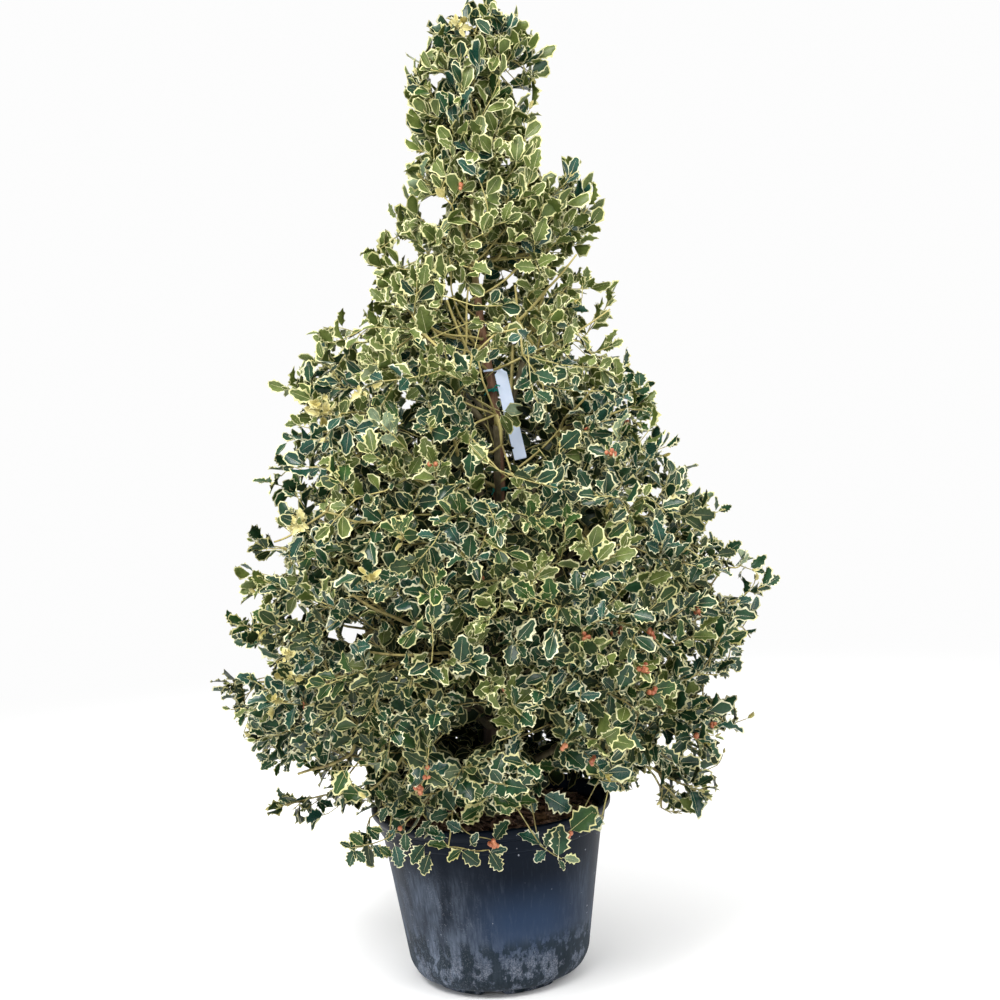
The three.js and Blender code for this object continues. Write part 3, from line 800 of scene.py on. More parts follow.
@dataclass(frozen=True)
class Stem:
    """The trunk: one leaning, tapering limb with a flare at its foot. Its line has heights and x."""

    line: Rows = (
        (336, -6), (700, 24), (1000, 54), (1200, 70), (1320, 66),
        (1480, 46), (1660, 34), (1860, 46), (2020, 66), (2110, 86),
    )
    foot_radius: float = 21.0
    tip_radius: float = 4.5
    taper: float = 0.85
    flare: float = 14.0
    flare_height: float = 40.0
    buttresses: int = 3
    ground: float = 366.3
    sides: int = 40
    rings: int = 260
    relief: float = 1.3
    wander: float = 2.5
    wander_length: float = 93.0
    knot_gap: float = 60.0

    @property
    def top(self) -> float:
        """Gives the height of the trunk's tip."""
        return self.line[-1][0]

    def point(self, heights: Array | float) -> Array:
        """Gives the trunk's axis at each height."""
        z, x = np.array(self.line, dtype=float).T
        return np.stack([np.interp(heights, z, x), 0 * heights, heights], axis=-1)

    def radius(self, heights: Array | float) -> Array:
        """Gives the trunk's radius at each height, without its flare."""
        low, high = self.line[0][0], self.top
        share = np.clip((heights - low) / (high - low), 0, 1)
        return self.foot_radius + (self.tip_radius - self.foot_radius) * share**self.taper

    def surface(self) -> Surface:
        """Shapes the bark.

        The axis is the trunk's own line with its bends eased, and wanders a little to the front and
        back. Each ring's radius is the trunk's own, plus a flare that dies away exponentially above the
        ground with a few broad lobes, plus noise that is drawn out along the stem.

        Returns:
            The closed skin, with its foot flat just over the compost.
        """
        low, high = self.ground, self.top
        heights = low + (high - low) * np.linspace(0, 1, self.rings) ** 1.1
        knots = np.arange(low, high + 1, self.knot_gap)
        eased = np.convolve(np.pad(self.point(knots)[:, 0], 1, "edge"), [0.25, 0.5, 0.25], "valid")
        x = np.interp(heights, knots, eased)
        axis = np.stack([x, self.wander * np.sin(heights / self.wander_length), heights], axis=-1)
        ring = circle(self.sides)
        angles = np.arctan2(ring[:, 1], ring[:, 0])
        around, along = 20 * ring, 0.35 * heights[:, None]
        places = np.stack(np.broadcast_arrays(around[:, 0], around[:, 1], along), axis=-1)
        noise = lattice_noise(places, 9, 3) + 0.5 * lattice_noise(places, 4, 4)
        broad = lattice_noise(places * [1, 1, 0.5], 22, 5)
        flare = self.flare * np.exp((low - heights) / self.flare_height)[:, None]
        radii = self.radius(heights)[:, None] + flare * (1 + 0.3 * np.cos(self.buttresses * angles))
        radii = radii * (1 + 0.06 * broad) + self.relief * noise * (radii / self.foot_radius) ** 0.5
        rings = axis[:, None] + radii[..., None] * np.concatenate([ring, 0 * ring[:, :1]], axis=1)
        tip = axis[-1:] + [[0, 0, 1]]
        points = np.concatenate([rings.reshape(-1, 3), axis[:1], tip])
        return Surface().add(points, *tube_faces(self.rings, self.sides))


@dataclass(frozen=True)
class Tier:
    """A tier of masses: their hearts' height, how many, the first one's angle, where boughs start."""

    name: str
    height: float
    count: int
    turn: float
    bough_from: float = 0.0


@dataclass(frozen=True)
class Mass:
    """A mass of foliage: the line that it keeps nearest to, and the bough that carries it."""

    name: str
    root: Array
    way: Array
    heart: Array
    bough: Array | None = None
    bough_radius: float = 0.0

    @property
    def bough_name(self) -> str:
        """Names the bough's node."""
        return self.name.replace("foliage", "bough")


@dataclass(frozen=True)
class Plan:
    """The plan of the crown: which masses there are and where they start."""

    crown: Crown
    stem: Stem
    tiers: tuple[Tier, ...] = (
        Tier("skirt", 575, 6, 0.5, 440),
        Tier("low", 800, 6, 0.0, 590),
        Tier("middle", 1035, 5, 0.7, 790),
        Tier("shoulder", 1270, 4, 0.25, 1010),
        Tier("neck", 1510, 3, 0.0, 1260),
        Tier("column", 1760, 3, 0.05),
        Tier("top", 1975, 2, 1.3),
        Tier("leader", 2165, 1, 0.0),
    )
    stagger: float = 18.0
    bough_reach: float = 0.42
    tip_drop: float = 20.0
    low_radius: float = 10.5
    high_radius: float = 8.0
    bough_tip: float = 6.2
    sag: float = 0.1
    sag_at: float = 0.55
    heart_reach: float = 0.72
    top_reach: float = 0.5
    root_drop: float = 110.0
    top_drop: float = 60.0
    rise: float = 0.9
    gap: float = 0.3
    collar: float = 4.5
    collar_length: float = 14.0
    bough_sides: int = 14
    bough_relief: float = 0.09

    def bough_line(self, start: Array, tip: Array, rings: int) -> Array:
        """Draws a bough: (1-t)^2 start + 2t(1-t) bend + t^2 tip, with the bend below the straight line.

        Args:
            start: where it leaves the trunk.
            tip: where it ends.
            rings: how many steps it has.

        Returns:
            Its points, one more than the steps.
        """
        bend = start + (tip - start) * self.sag_at
        bend[2] -= self.sag * np.linalg.norm(tip - start)
        t = np.linspace(0, 1, rings + 1)[:, None]
        return (1 - t) ** 2 * start + 2 * t * (1 - t) * bend + t**2 * tip

    def mass(self, tier: Tier, level: int, index: int) -> Mass:
        """Plans one mass of a tier, on its bough or straight from the trunk.

        Args:
            tier: the tier.
            level: the tier's number from below.
            index: the mass's number in the tier.

        Returns:
            The mass.
        """
        name = f"{tier.name}_foliage_{index + 1}"
        lift = self.stagger * (1 if index % 2 else -1) if tier.count > 1 else 0
        height, angle = tier.height + lift, tier.turn + index * TURN / tier.count
        if tier.bough_from:
            start = self.stem.point(tier.bough_from + lift)
            tip = self.crown.spot(height - self.tip_drop, angle, self.bough_reach)
            coarse = self.bough_line(start, tip, 3)
            way = unit(coarse[-1] - coarse[-2])
            radius = self.low_radius + (self.high_radius - self.low_radius) * level / 4
            heart = self.crown.spot(height, angle, self.heart_reach)
            return Mass(name, tip + way * self.gap, way, heart, self.bough_line(start, tip, 24), radius)
        if tier.count == 1:
            root = self.stem.point(self.stem.top) + UP * self.gap
            return Mass(name, root, UP, self.crown.spot(height, 0, 0))
        root = self.stem.point(min(height - self.root_drop, self.stem.top - self.top_drop))
        way = unit(level_ways(angle) + self.rise * UP)
        return Mass(name, root, way, self.crown.spot(height, angle, self.top_reach))

    def masses(self) -> list[Mass]:
        """Plans all the masses, tier by tier."""
        return [self.mass(tier, level, i) for level, tier in enumerate(self.tiers) for i in range(tier.count)]

    def boughs(self, masses: list[Mass]) -> Surface:
        """Shapes the boughs: tapering tubes with a collar at the trunk and fine relief.

        The radius falls evenly from the trunk to the tip, plus a collar that dies away exponentially,
        times one plus noise that is drawn out along the bough.

        Args:
            masses: the plan's masses.

        Returns:
            The closed skins of all the boughs.
        """
        skin = Surface()
        ring = circle(self.bough_sides)
        for number, mass in enumerate(m for m in masses if m.bough is not None):
            line = mass.bough
            share = np.linspace(0, 1, len(line))[:, None]
            run = np.linalg.norm(line - line[0], axis=1)[:, None]
            radii = mass.bough_radius + (self.bough_tip - mass.bough_radius) * share
            start = self.stem.radius(line[0, 2])
            radii = radii + self.collar * np.exp(-np.maximum(run - start, 0) / self.collar_length)
            places = np.stack(np.broadcast_arrays(0.3 * run, 9 * ring[:, 0], 9 * ring[:, 1]), axis=-1)
            radii = radii * (1 + self.bough_relief * lattice_noise(places + 40 * number, 6, 8))
            profile = radii[..., None] * ring
            skin.tube(line, profile, UP + 0.1)
        return skin


@dataclass(frozen=True)
class Stray:
    """Shoots that stand out of the crown: each one's tip, and how steeply it rises to it."""

    tips: Rows = (
        (-540, -60, 417, -0.15), (-330, -245, 312, -1.0), (285, -280, 368, -0.8),
        (525, -125, 385, -0.5), (432, -150, 338, -0.9), (345, 235, 345, -0.8),
        (-80, 395, 335, -1.0), (696, 10, 880, 0.1), (631, 140, 552, -0.2),
        (-638, 0, 707, 0.0), (-566, -50, 973, 0.2), (-414, 30, 1409, 0.8),
        (350, 30, 1560, 0.9), (-190, 75, 1665, 1.0), (335, 20, 1800, 1.2),
        (205, 10, 2175, 2.2), (-85, -45, 2110, 1.5), (117, 0, 2256, 9.0),
    )
    inset: float = 190.0
    aimed_inset: float = 160.0
    width: float = 78.0

    def lines(self, crown: Crown) -> tuple[Array, Array, Array, Array]:
        """Gives each stray's first bud, its aimed bud, its tip and its way.

        Args:
            crown: the crown's outline.

        Returns:
            Four arrays of one row for each stray.
        """
        rows = np.array(self.tips, dtype=float)
        tips = rows[:, :3]
        ways = crown.outward(tips, rows[:, 3])
        size = crown.size_at(tips[:, 2])[:, None]
        return tips - ways * self.inset * size, tips - ways * self.aimed_inset * size, tips, ways


@dataclass(frozen=True)
class OpenLimbs:
    """Bare limbs that show between the leaves.

    Each row has the two ends of a limb, as x and z where the line from the eye meets the plant's middle
    plane, with the end's own depth y after them, and then the radius at both ends.
    """

    rows: Rows = (
        (102, 1415, -40, 347, 1529, -20, 3.4, 1.9), (227, 1282, -60, 299, 1350, -120, 3.2, 2.2),
        (8, 1454, -60, -32, 1573, -120, 4.0, 2.6), (2, 1448, -60, 20, 1600, -100, 3.4, 2.2),
        (-9, 1167, -120, -50, 1275, -260, 4.6, 3.0), (42, 1477, -30, -73, 1512, -150, 3.4, 2.2),
        (97, 1290, -8, 115, 1460, -14, 4.4, 3.6), (131, 1516, -60, 129, 1598, -90, 3.6, 2.6),
        (-347, 1094, -150, -470, 1033, -100, 3.2, 2.2), (-234, 1066, -300, -358, 1099, -220, 3.2, 2.2),
        (-164, 820, -340, -296, 900, -360, 4.4, 2.8), (-80, 749, -360, -262, 762, -410, 3.6, 2.4),
        (-324, 523, -150, -449, 485, -110, 4.2, 3.0), (-210, 497, -250, -282, 437, -255, 3.4, 2.6),
        (106, 1611, -60, 22, 1570, -40, 3.0, 2.2), (36, 1653, -30, 123, 1740, -60, 2.8, 2.0),
        (25, 1469, -20, -17, 1581, -70, 3.2, 2.6), (-17, 1581, -70, -21, 1672, -95, 2.6, 2.0),
        (16, 1467, -20, -79, 1515, -90, 3.0, 2.2), (32, 1462, -16, -11, 1525, -60, 3.2, 2.4),
        (126, 1510, -30, 200, 1582, -60, 4.6, 3.4), (200, 1582, -60, 277, 1661, -70, 3.2, 2.0),
        (34, 1342, -40, 48, 1264, -40, 1.6, 1.8), (48, 1264, -40, 69, 1188, -30, 1.8, 2.2),
        (142, 1193, -90, 214, 1257, -130, 3.0, 2.0), (47, 1323, -52, 76, 1307, -58, 1.6, 1.2),
        (-140, 417, -300, -247, 322, -335, 2.2, 1.6), (-247, 322, -335, -333, 303, -340, 1.6, 1.3),
        (-83, 425, -300, -107, 292, -335, 2.0, 1.5), (-107, 292, -335, -12, 279, -340, 1.5, 1.2),
        (-63, 325, -322, 1, 300, -335, 1.3, 1.1), (88, 403, -292, 111, 281, -330, 1.8, 1.5),
        (111, 281, -330, 159, 247, -338, 1.5, 1.2), (256, 428, -285, 179, 308, -320, 1.6, 1.3),
        (-212, 433, -290, -217, 419, -300, 1.5, 1.3),
    )
    bow: float = 0.035
    sway: float = 0.03
    points: int = 12
    clearance: float = 4.0
    depth: float = 6.0
    flare: float = 0.01
    reach_cost: float = 1.6
    thin_share: float = 0.8
    thin_cost: float = 300.0
    lead_points: int = 6

    def lines(self) -> tuple[Array, Array]:
        """Draws the limbs: straight between their ends, bowed down by a share of their length.

        Returns:
            Points of shape (limbs, points, 3), and their radii.
        """
        rows = np.array(self.rows, dtype=float)
        start, end = on_sight(rows[:, :2], rows[:, 2]), on_sight(rows[:, 3:5], rows[:, 5])
        t = np.linspace(0, 1, self.points)[None, :, None]
        lines = start[:, None] * (1 - t) + end[:, None] * t
        span = np.linalg.norm(end - start, axis=1)[:, None]
        lines[..., 2] -= self.bow * span * np.sin(np.pi * t[..., 0])
        sway = self.sway * span * np.sin(TURN * t[..., 0]) * np.cos(2.4 * np.arange(len(rows)))[:, None]
        lines += sway[..., None] * np.array([0.7, 0.2, 0.7])
        return lines, rows[:, 6:7] * (1 - t[..., 0]) + rows[:, 7:8] * t[..., 0]

    def hollows(self) -> Array:
        """Gives the rows of x, z, radius, depth and flare that keep the view to each limb free."""
        lines, radii = self.lines()
        points = lines.reshape(-1, 3)
        widths, depths = radii.ravel() + self.clearance, points[:, 1] - self.depth
        return np.column_stack([seen_at(points), widths, depths, np.full(len(points), self.flare)])

    def join(self, nodes: Array, node_radii: Array) -> tuple[list[Array], list[Array]]:
        """Leads each limb back to a node that can carry it.

        The cost of a node is its distance, more where it lies ahead of the limb, plus a fixed sum where
        it is too thin. The cheapest node carries the limb.

        Args:
            nodes: points on the trunk, the boughs and the twigs.
            node_radii: how thick they are there.

        Returns:
            The limbs' lines and radii.
        """
        lines, radii = self.lines()
        whole, widths = [], []
        for line, radius in zip(lines, radii):
            way = unit(line[1] - line[0])
            gaps = nodes - line[0]
            reach = np.linalg.norm(gaps, axis=1)
            ahead = (gaps @ way) / np.maximum(reach, 1)
            thin = node_radii < radius[0] * self.thin_share
            cost = reach * (self.reach_cost + ahead) + np.where(thin, self.thin_cost, 0)
            node = nodes[int(np.argmin(cost))]
            lead = smooth_path(np.stack([node, line[0], line[3]]), self.lead_points)[: self.lead_points]
            whole.append(np.concatenate([lead, line]))
            widths.append(np.concatenate([np.full(len(lead), radius[0]), radius]))
        return whole, widths


# ------------------------------------------------------------------ growth


@dataclass
class Tree:
    """The twigs of one mass as nodes: place, way in, parent, length back to the root."""

    at: list[Array]
    way: list[Array]
    parent: list[int]
    run: list[float]
    ended: list[bool]

    def add(self, at: Array, way: Array, parent: int, span: float, ended: bool = False) -> int:
        """Adds a node.

        Args:
            at: its place.
            way: the direction in which the twig arrives.
            parent: the node before it.
            span: the length of the link.
            ended: whether it carries nothing more.

        Returns:
            The node's number.
        """
        self.at.append(at)
        self.way.append(way)
        self.parent.append(parent)
        self.run.append(self.run[parent] + span)
        self.ended.append(ended)
        return len(self.at) - 1

    def kids(self, clad: list[bool] | None = None) -> list[list[int]]:
        """Lists the nodes that follow each node.

        Args:
            clad: which nodes bear leaves. Nodes that lead to none of them are left out.

        Returns:
            The numbers of the nodes after each node.
        """
        live = list(clad) if clad is not None else [True] * len(self.at)
        for i in range(len(self.at) - 1, 1, -1):
            live[self.parent[i]] = live[self.parent[i]] or live[i]
        found: list[list[int]] = [[] for _ in self.at]
        for i in range(1, len(self.at)):
            if live[i]:
                found[self.parent[i]].append(i)
        return found

    def carried(self) -> list[int]:
        """Counts the tips that each node carries."""
        counts = [0] * len(self.at)
        for i in range(len(self.at) - 1, 0, -1):
            counts[i] = max(counts[i], 1)
            counts[self.parent[i]] += counts[i]
        return counts


@dataclass(frozen=True)
class Habit:
    """How far twigs reach and what they avoid, at one level of fineness."""

    spacing: float
    inset: float
    inner: float
    tries: int
    longest: float
    detour: float
    bend: float
    margin: float
    taper: float
    crest: float = 1.0


@dataclass
class Openings:
    """What stays open to the eye: gaps of sky, the crown's lower edge, and hollows among the leaves.

    Attributes:
        sky: gaps of sky, as x, z and radius where they are seen in the plant's middle plane.
        hem: the crown's lower edge as it is seen, as x and z from left to right.
        strap_slot: the first and the last cone of a row before the label and its strap.
        trunk_slot: the same before a bare stretch of the trunk.
        recesses: single hollows of the crown.
        lobes: how the gaps of sky are ragged, as waves round the edge and their depth.
        lobe_turn: how far the waves are turned from one gap to the next.
        limbs: bare limbs, each with cones of its own.
    """

    sky: Rows = (
        (60, 2170, 10), (-50, 2170, 18), (-25, 2085, 15), (145, 2085, 16), (160, 2045, 9),
        (155, 1962, 9), (115, 1870, 9), (225, 1885, 28), (235, 1835, 14), (-50, 1785, 28),
        (-42, 1685, 9), (-115, 1685, 20), (122, 1618, 12), (262, 1640, 14), (215, 1595, 10),
        (305, 1555, 18), (-262, 1525, 14), (290, 1512, 14), (322, 1465, 20), (-400, 1445, 16),
        (262, 1432, 10), (-425, 1360, 18), (450, 1290, 9), (480, 1175, 12), (-395, 1165, 8),
        (440, 1160, 9), (-400, 1112, 11), (-490, 1100, 22), (530, 1125, 14), (432, 1095, 12),
        (372, 1072, 12), (-455, 1045, 14), (580, 1010, 22), (-465, 975, 18), (-505, 975, 14),
        (-520, 890, 11), (582, 868, 28), (-430, 865, 20), (-435, 840, 10), (-300, 810, 21),
        (-345, 815, 9), (-565, 755, 26), (-520, 735, 18), (540, 630, 22), (580, 620, 22),
        (408, 515, 13), (472, 492, 12), (-312, 478, 22), (-480, 465, 24), (-435, 475, 20),
        (-390, 450, 13), (375, 415, 18), (-330, 365, 30),
    )
    hem: Rows = (
        (-655, 695), (-605, 640), (-555, 550), (-545, 390), (-450, 360), (-395, 330), (-380, 380),
        (-355, 380), (-350, 250), (-210, 220), (200, 220), (215, 295), (255, 295), (270, 375),
        (380, 410), (385, 345), (515, 320), (525, 385), (545, 385), (560, 510), (635, 535),
        (655, 710), (675, 850),
    )
    strap_slot: tuple[Cone, Cone] = ((87, 1402, 17, -22, 0.05), (117, 1206, 17, -22, 0.05))
    trunk_slot: tuple[Cone, Cone] = ((41, 1838, 8, -10, 0.02), (31, 1708, 8, -10, 0.02))
    recesses: tuple[Cone, ...] = (
        (70, 1360, 12, -16, 0.03), (50, 1355, 10, -16, 0.03), (55, 1530, 10, -20, 0.03),
        (50, 1470, 10, -20, 0.03), (65, 1205, 13, -24, 0.03), (57, 1130, 17, -20, 0.05),
        (-15, 565, 26, -60, 0.04), (-75, 530, 20, -60, 0.04), (125, 520, 30, -60, 0.04),
        (165, 420, 34, -60, 0.03), (215, 410, 34, -60, 0.03), (260, 375, 22, 0, 0.02),
        (285, 390, 15, 20, 0.02), (165, 360, 20, -60, 0.02), (90, 345, 22, -60, 0.02),
        (50, 330, 22, -60, 0.02), (70, 295, 30, -60, 0.02), (-265, 360, 20, 20, 0.02),
        (-255, 325, 14, 20, 0.02), (-95, 400, 20, -60, 0.0), (-50, 365, 20, -60, 0.0),
    )
    strap_cones: int = 8
    trunk_cones: int = 6
    lobes: tuple[tuple[int, float], ...] = ((2, 0.13), (3, 0.13), (5, 0.1))
    lobe_turn: float = 2.1
    limbs: OpenLimbs = field(default_factory=OpenLimbs)

    def __post_init__(self) -> None:
        """Lays the cones before all the hollows."""
        self.before_label = np.linspace(*self.strap_slot, self.strap_cones)
        before_trunk = np.linspace(*self.trunk_slot, self.trunk_cones)
        self.hollows = np.concatenate([self.before_label, before_trunk, self.recesses, self.limbs.hollows()])

    def free(self, points: Array) -> Array:
        """Says whether each point is over the hem and stands before no hollow."""
        return ~self.recessed(points) & self.over_hem(points)

    def off_label(self, points: Array) -> Array:
        """Says whether each point leaves the view to the label free."""
        return ~self.recessed(points, self.before_label)

    def open_sky(self, points: Array, margin: float = 0.0) -> Array:
        """Says whether each point leaves the gaps of sky open, which have ragged edges of a few lobes.

        Args:
            points: places, of shape (n, 3).
            margin: how much wider than drawn the gaps are kept.

        Returns:
            One answer for each point.
        """
        rows = np.array(self.sky, dtype=float)
        gaps = seen_at(points)[:, None] - rows[:, :2]
        turn = np.arctan2(gaps[..., 1], gaps[..., 0]) + self.lobe_turn * np.arange(len(rows))
        ragged = 1 + sum(depth * np.sin(waves * turn) for waves, depth in self.lobes)
        return np.all(np.linalg.norm(gaps, axis=-1) > rows[:, 2] * ragged + margin, axis=1)

    def recessed(self, points: Array, rows: Array | None = None) -> Array:
        """Says whether each point stands before a hollow of the crown, in a cone that opens to the front.

        Args:
            points: places, of shape (n, 3).
            rows: the cones, or else those of all the hollows.

        Returns:
            One answer for each point.
        """
        rows = self.hollows if rows is None else rows
        ahead = np.maximum(rows[:, 3] - points[:, 1:2], 0)
        near = sight_gaps(points, rows[:, :2]) < rows[:, 2] + rows[:, 4] * ahead
        return np.any((ahead > 0) & near, axis=1)

    def over_hem(self, points: Array) -> Array:
        """Says whether each point is seen over the crown's lower edge."""
        seen = seen_at(points)
        return seen[:, 1] > np.interp(seen[:, 0], *np.array(self.hem, dtype=float).T)


@dataclass
class Growth:
    """Grows the twigs of all masses, first as in the solids, then on to finer ones.

    Attributes:
        edge_shoots: tips of small shoots round the crown's edge, as x and z where they are seen.
        spray_back: how far behind a shoot's tip its buds lie. So for their distance from its line.
        spray_full: how far behind the tip the buds reach their full distance.
        arcs_behind: heights of two rows of shoots at the back, and their shares of the crown's radius.
        edge_buds: how far behind a small shoot's tip its buds lie in line.
        edge_side_bud: how far behind the tip one more bud lies, and how far aside.
    """

    crown: Crown
    stem: Stem
    masses: list[Mass]
    strays: Stray
    coarse: Habit = Habit(168, 84, 0.45, 4000, 270, 0.35, 60, 6, 2)
    fine: Habit = Habit(58, 46, 0.14, 90000, 150, 0.3, 26, 0, 0.4, 0.74)
    seed: int = 20417
    shell: float = 0.1
    from_foot: float = 30.0
    from_top: float = 70.0
    stub: float = 26.0
    step: float = 62.0
    edge_shoots: Rows = (
        (-80, 2180), (-75, 2120), (-105, 2060), (-75, 1960), (-90, 1880), (-100, 1840),
        (-165, 1775), (-150, 1755), (-215, 1705), (-225, 1670), (-120, 1700), (-350, 1520),
        (-325, 1535), (-290, 1545), (-195, 1545), (-440, 1395), (-430, 1430), (-425, 1310),
        (-455, 1275), (-430, 1230), (-500, 1180), (-440, 1100), (-545, 1045), (-550, 975),
        (-545, 925), (-565, 880), (-600, 850), (-575, 815), (-540, 760), (-625, 705),
        (-575, 740), (-625, 655), (-615, 625), (-570, 570), (-520, 525), (-405, 350),
        (112, 2215), (185, 2210), (180, 2165), (225, 2095), (215, 2010), (200, 1960),
        (180, 1925), (195, 1870), (270, 1895), (300, 1820), (330, 1795), (335, 1730),
        (300, 1690), (300, 1640), (290, 1600), (375, 1555), (345, 1480), (370, 1450),
        (400, 1400), (440, 1350), (435, 1315), (465, 1285), (490, 1210), (505, 1140),
        (510, 1110), (560, 1070), (600, 1050), (610, 955), (650, 930), (670, 910),
        (700, 870), (660, 800), (660, 750), (600, 690), (585, 635), (640, 560),
        (580, 480), (520, 440), (520, 390), (500, 365), (475, 345),
    )
    openings: Openings = field(default_factory=Openings)
    clump_width: float = 125.0
    clump_floor: float = -0.42
    dense_from: float = 1650.0
    shoot_sprays: int = 9
    spray_back: tuple[float, float] = (58.0, 185.0)
    spray_width: tuple[float, float] = (16.0, 46.0)
    spray_full: float = 90.0
    bud_margin: float = 8.0
    edge_width: float = 42.0
    edge_run: float = 110.0
    edge_buds: tuple[float, ...] = (105.0, 55.0, 8.0)
    edge_side_bud: tuple[float, float] = (30.0, 22.0)
    edge_rise: float = 0.3
    shoot_buds_in_line: tuple[float, ...] = (110.0, 75.0, 46.0)
    crest_heights: tuple[float, float] = (1350.0, 1750.0)
    leaf_reach: float = 22.0
    behind: int = 10
    arc_angles: tuple[float, float] = (25.0, 155.0)
    arcs_behind: Rows = ((438.0, 0.74), (500.0, 0.66))
    pot_guard: Steps = ((0, 346, 376, 402), (200, 272, 290, 290))
    pot_top: float = 404.0
    trunk_gap: float = 3.0
    skirt_drop: float = 25.0
    link_checks: tuple[float, ...] = (0.12, 0.24, 0.36, 0.5, 0.64, 0.76, 0.88)
    bend_aside: float = 0.035
    clump_seed: int = 17
    skirt_lift: float = 0.42
    skirt_from: float = 190.0

    def __post_init__(self) -> None:
        """Works out the lines that share the crown out."""
        self.starts = np.array([mass.root for mass in self.masses])
        self.ends = np.array([mass.heart for mass in self.masses])
        self.first, self.aimed, self.tips, self.ways = self.strays.lines(self.crown)
        spots = np.array(self.edge_shoots, dtype=float)
        spots = on_sight(spots, self.crown.section(spots[:, 1])[0][:, 1])
        turns = np.radians(np.linspace(*self.arc_angles, self.behind))
        arcs = [self.crown.spot(0 * turns + height, turns, share) for height, share in self.arcs_behind]
        self.edge = np.concatenate([spots, *arcs])
        self.edge_ways = self.crown.outward(self.edge, self.edge_rise)
        self.edge -= self.leaf_reach * self.edge_ways

    def over_skirt(self, points: Array) -> Array:
        """Says whether each point is over the crown's lower edge, which rises towards the front."""
        lift = self.skirt_lift * np.maximum(-points[:, 1] - self.skirt_from, 0)
        return points[:, 2] > self.crown.rows[0][0] - self.skirt_drop + lift

    def near_stray(self, points: Array) -> Array:
        """Says whether each point belongs to a shoot that stands out of the crown."""
        small = line_distances(points, self.edge - self.edge_run * self.edge_ways, self.edge)
        large = line_distances(points, self.first, self.tips)
        return (np.min(small, axis=1) < self.edge_width) | (np.min(large, axis=1) < self.strays.width)

    def clear(self, points: Array) -> Array:
        """Says whether each point is clear of the pot, the trunk and the ways to the sky.

        Args:
            points: places, of shape (n, 3).

        Returns:
            One answer for each point.
        """
        flat = np.hypot(points[:, 0], points[:, 1])
        height = points[:, 2]
        off_pot = (height > self.pot_top) | (flat > np.interp(height, *self.pot_guard))
        away = np.linalg.norm(points - self.stem.point(height), axis=1)
        off_trunk = (away > self.stem.radius(height) + self.trunk_gap) | (height > self.stem.top)
        return off_pot & off_trunk & self.openings.open_sky(points)

    def owners(self, points: Array, margin: float) -> Array:
        """Finds the mass whose line lies nearest to each point.

        Args:
            points: places, of shape (n, 3).
            margin: how much nearer that line must lie than any other, halved.

        Returns:
            The mass's number, or -1 where the point is shared or out of the crown.
        """
        distances = line_distances(points, self.starts, self.ends)
        order = np.sort(distances, axis=1)
        held = self.crown.holds(points) | self.near_stray(points)
        kept = (order[:, 1] > order[:, 0] + 2 * margin) & held
        return np.where(kept, np.argmin(distances, axis=1), -1)

    def scatter(self, habit: Habit, buds: list[Array], draw: Callable[[], float]) -> Array:
        """Spreads buds through the crown's leafy shell: a try is kept where it has room.

        Args:
            habit: spacing and depth of the buds.
            buds: buds that are there already.
            draw: gives the next random number.

        Returns:
            All the buds.
        """
        low, high = self.crown.rows[0][0] + self.from_foot, self.crown.rows[-1][0] - self.from_top
        tries = np.array([[draw() for _ in range(3)] for _ in range(habit.tries)])
        heights, angles = low + (high - low) * tries[:, 0], TURN * tries[:, 1]
        sizes = self.crown.size_at(heights)
        outer = 1 - habit.inset * sizes / self.crown.section(heights)[1]
        inner = np.minimum(habit.inner, outer - self.shell)
        spots = self.crown.spot(heights, angles, np.sqrt(inner**2 + (outer**2 - inner**2) * tries[:, 2]))
        kept = np.zeros((len(buds) + habit.tries, 3))
        count = len(buds)
        kept[:count] = buds
        closer = np.interp(heights, self.crest_heights, [1, habit.crest])
        room = (habit.spacing * closer * sizes**habit.taper) ** 2
        for spot, least in zip(spots, room):
            gaps = kept[:count] - spot
            if not count or np.min(np.einsum("nk,nk->n", gaps, gaps)) > least:
                kept[count] = spot
                count += 1
        return kept[:count]

    def spread(self, tree: Tree, number: int, buds: Array, ended: Array, habit: Habit) -> None:
        """Joins buds to a mass's tree, always the one that is cheapest to reach.

        The cost of a link is its length, plus a share of the way back to the root, plus the bend away
        from the twig that it leaves.

        Args:
            tree: the tree, which grows.
            number: the mass's number.
            buds: the buds to join.
            ended: which of them carry nothing more.
            habit: the limits of this level.
        """
        cost = np.full(len(buds), np.inf)
        parents = np.full(len(buds), -1)
        taken = np.zeros(len(buds), dtype=bool)

        def offer(node: int) -> None:
            """Lets the open buds choose a node where it is cheaper than what they have.

            Args:
                node: the node's number.
            """
            if tree.ended[node]:
                return
            gaps = buds - tree.at[node]
            spans = np.linalg.norm(gaps, axis=1)
            bends = 1 - (gaps @ tree.way[node]) / np.maximum(spans, 1e-6)
            price = spans + habit.detour * tree.run[node] + habit.bend * bends
            better = np.flatnonzero((price < cost) & (spans < habit.longest) & ~taken)
            if not len(better):
                return
            middles = tree.at[node] + gaps[better] / 2
            fits = (self.owners(middles, habit.margin) == number) & self.clear(middles)
            for share in self.link_checks:
                fits &= self.openings.off_label(tree.at[node] + gaps[better] * share)
            if not habit.margin:
                fits &= self.openings.free(middles)
            better = better[fits]
            cost[better], parents[better] = price[better], node

        for node in range(1, len(tree.at)):
            offer(node)
        while len(buds) and np.isfinite(np.min(cost)):
            best = int(np.argmin(cost))
            parent = int(parents[best])
            gap = buds[best] - tree.at[parent]
            span = float(np.linalg.norm(gap))
            node = tree.add(buds[best], gap / span, parent, span, bool(ended[best]))
            taken[best], cost[best] = True, np.inf
            offer(node)

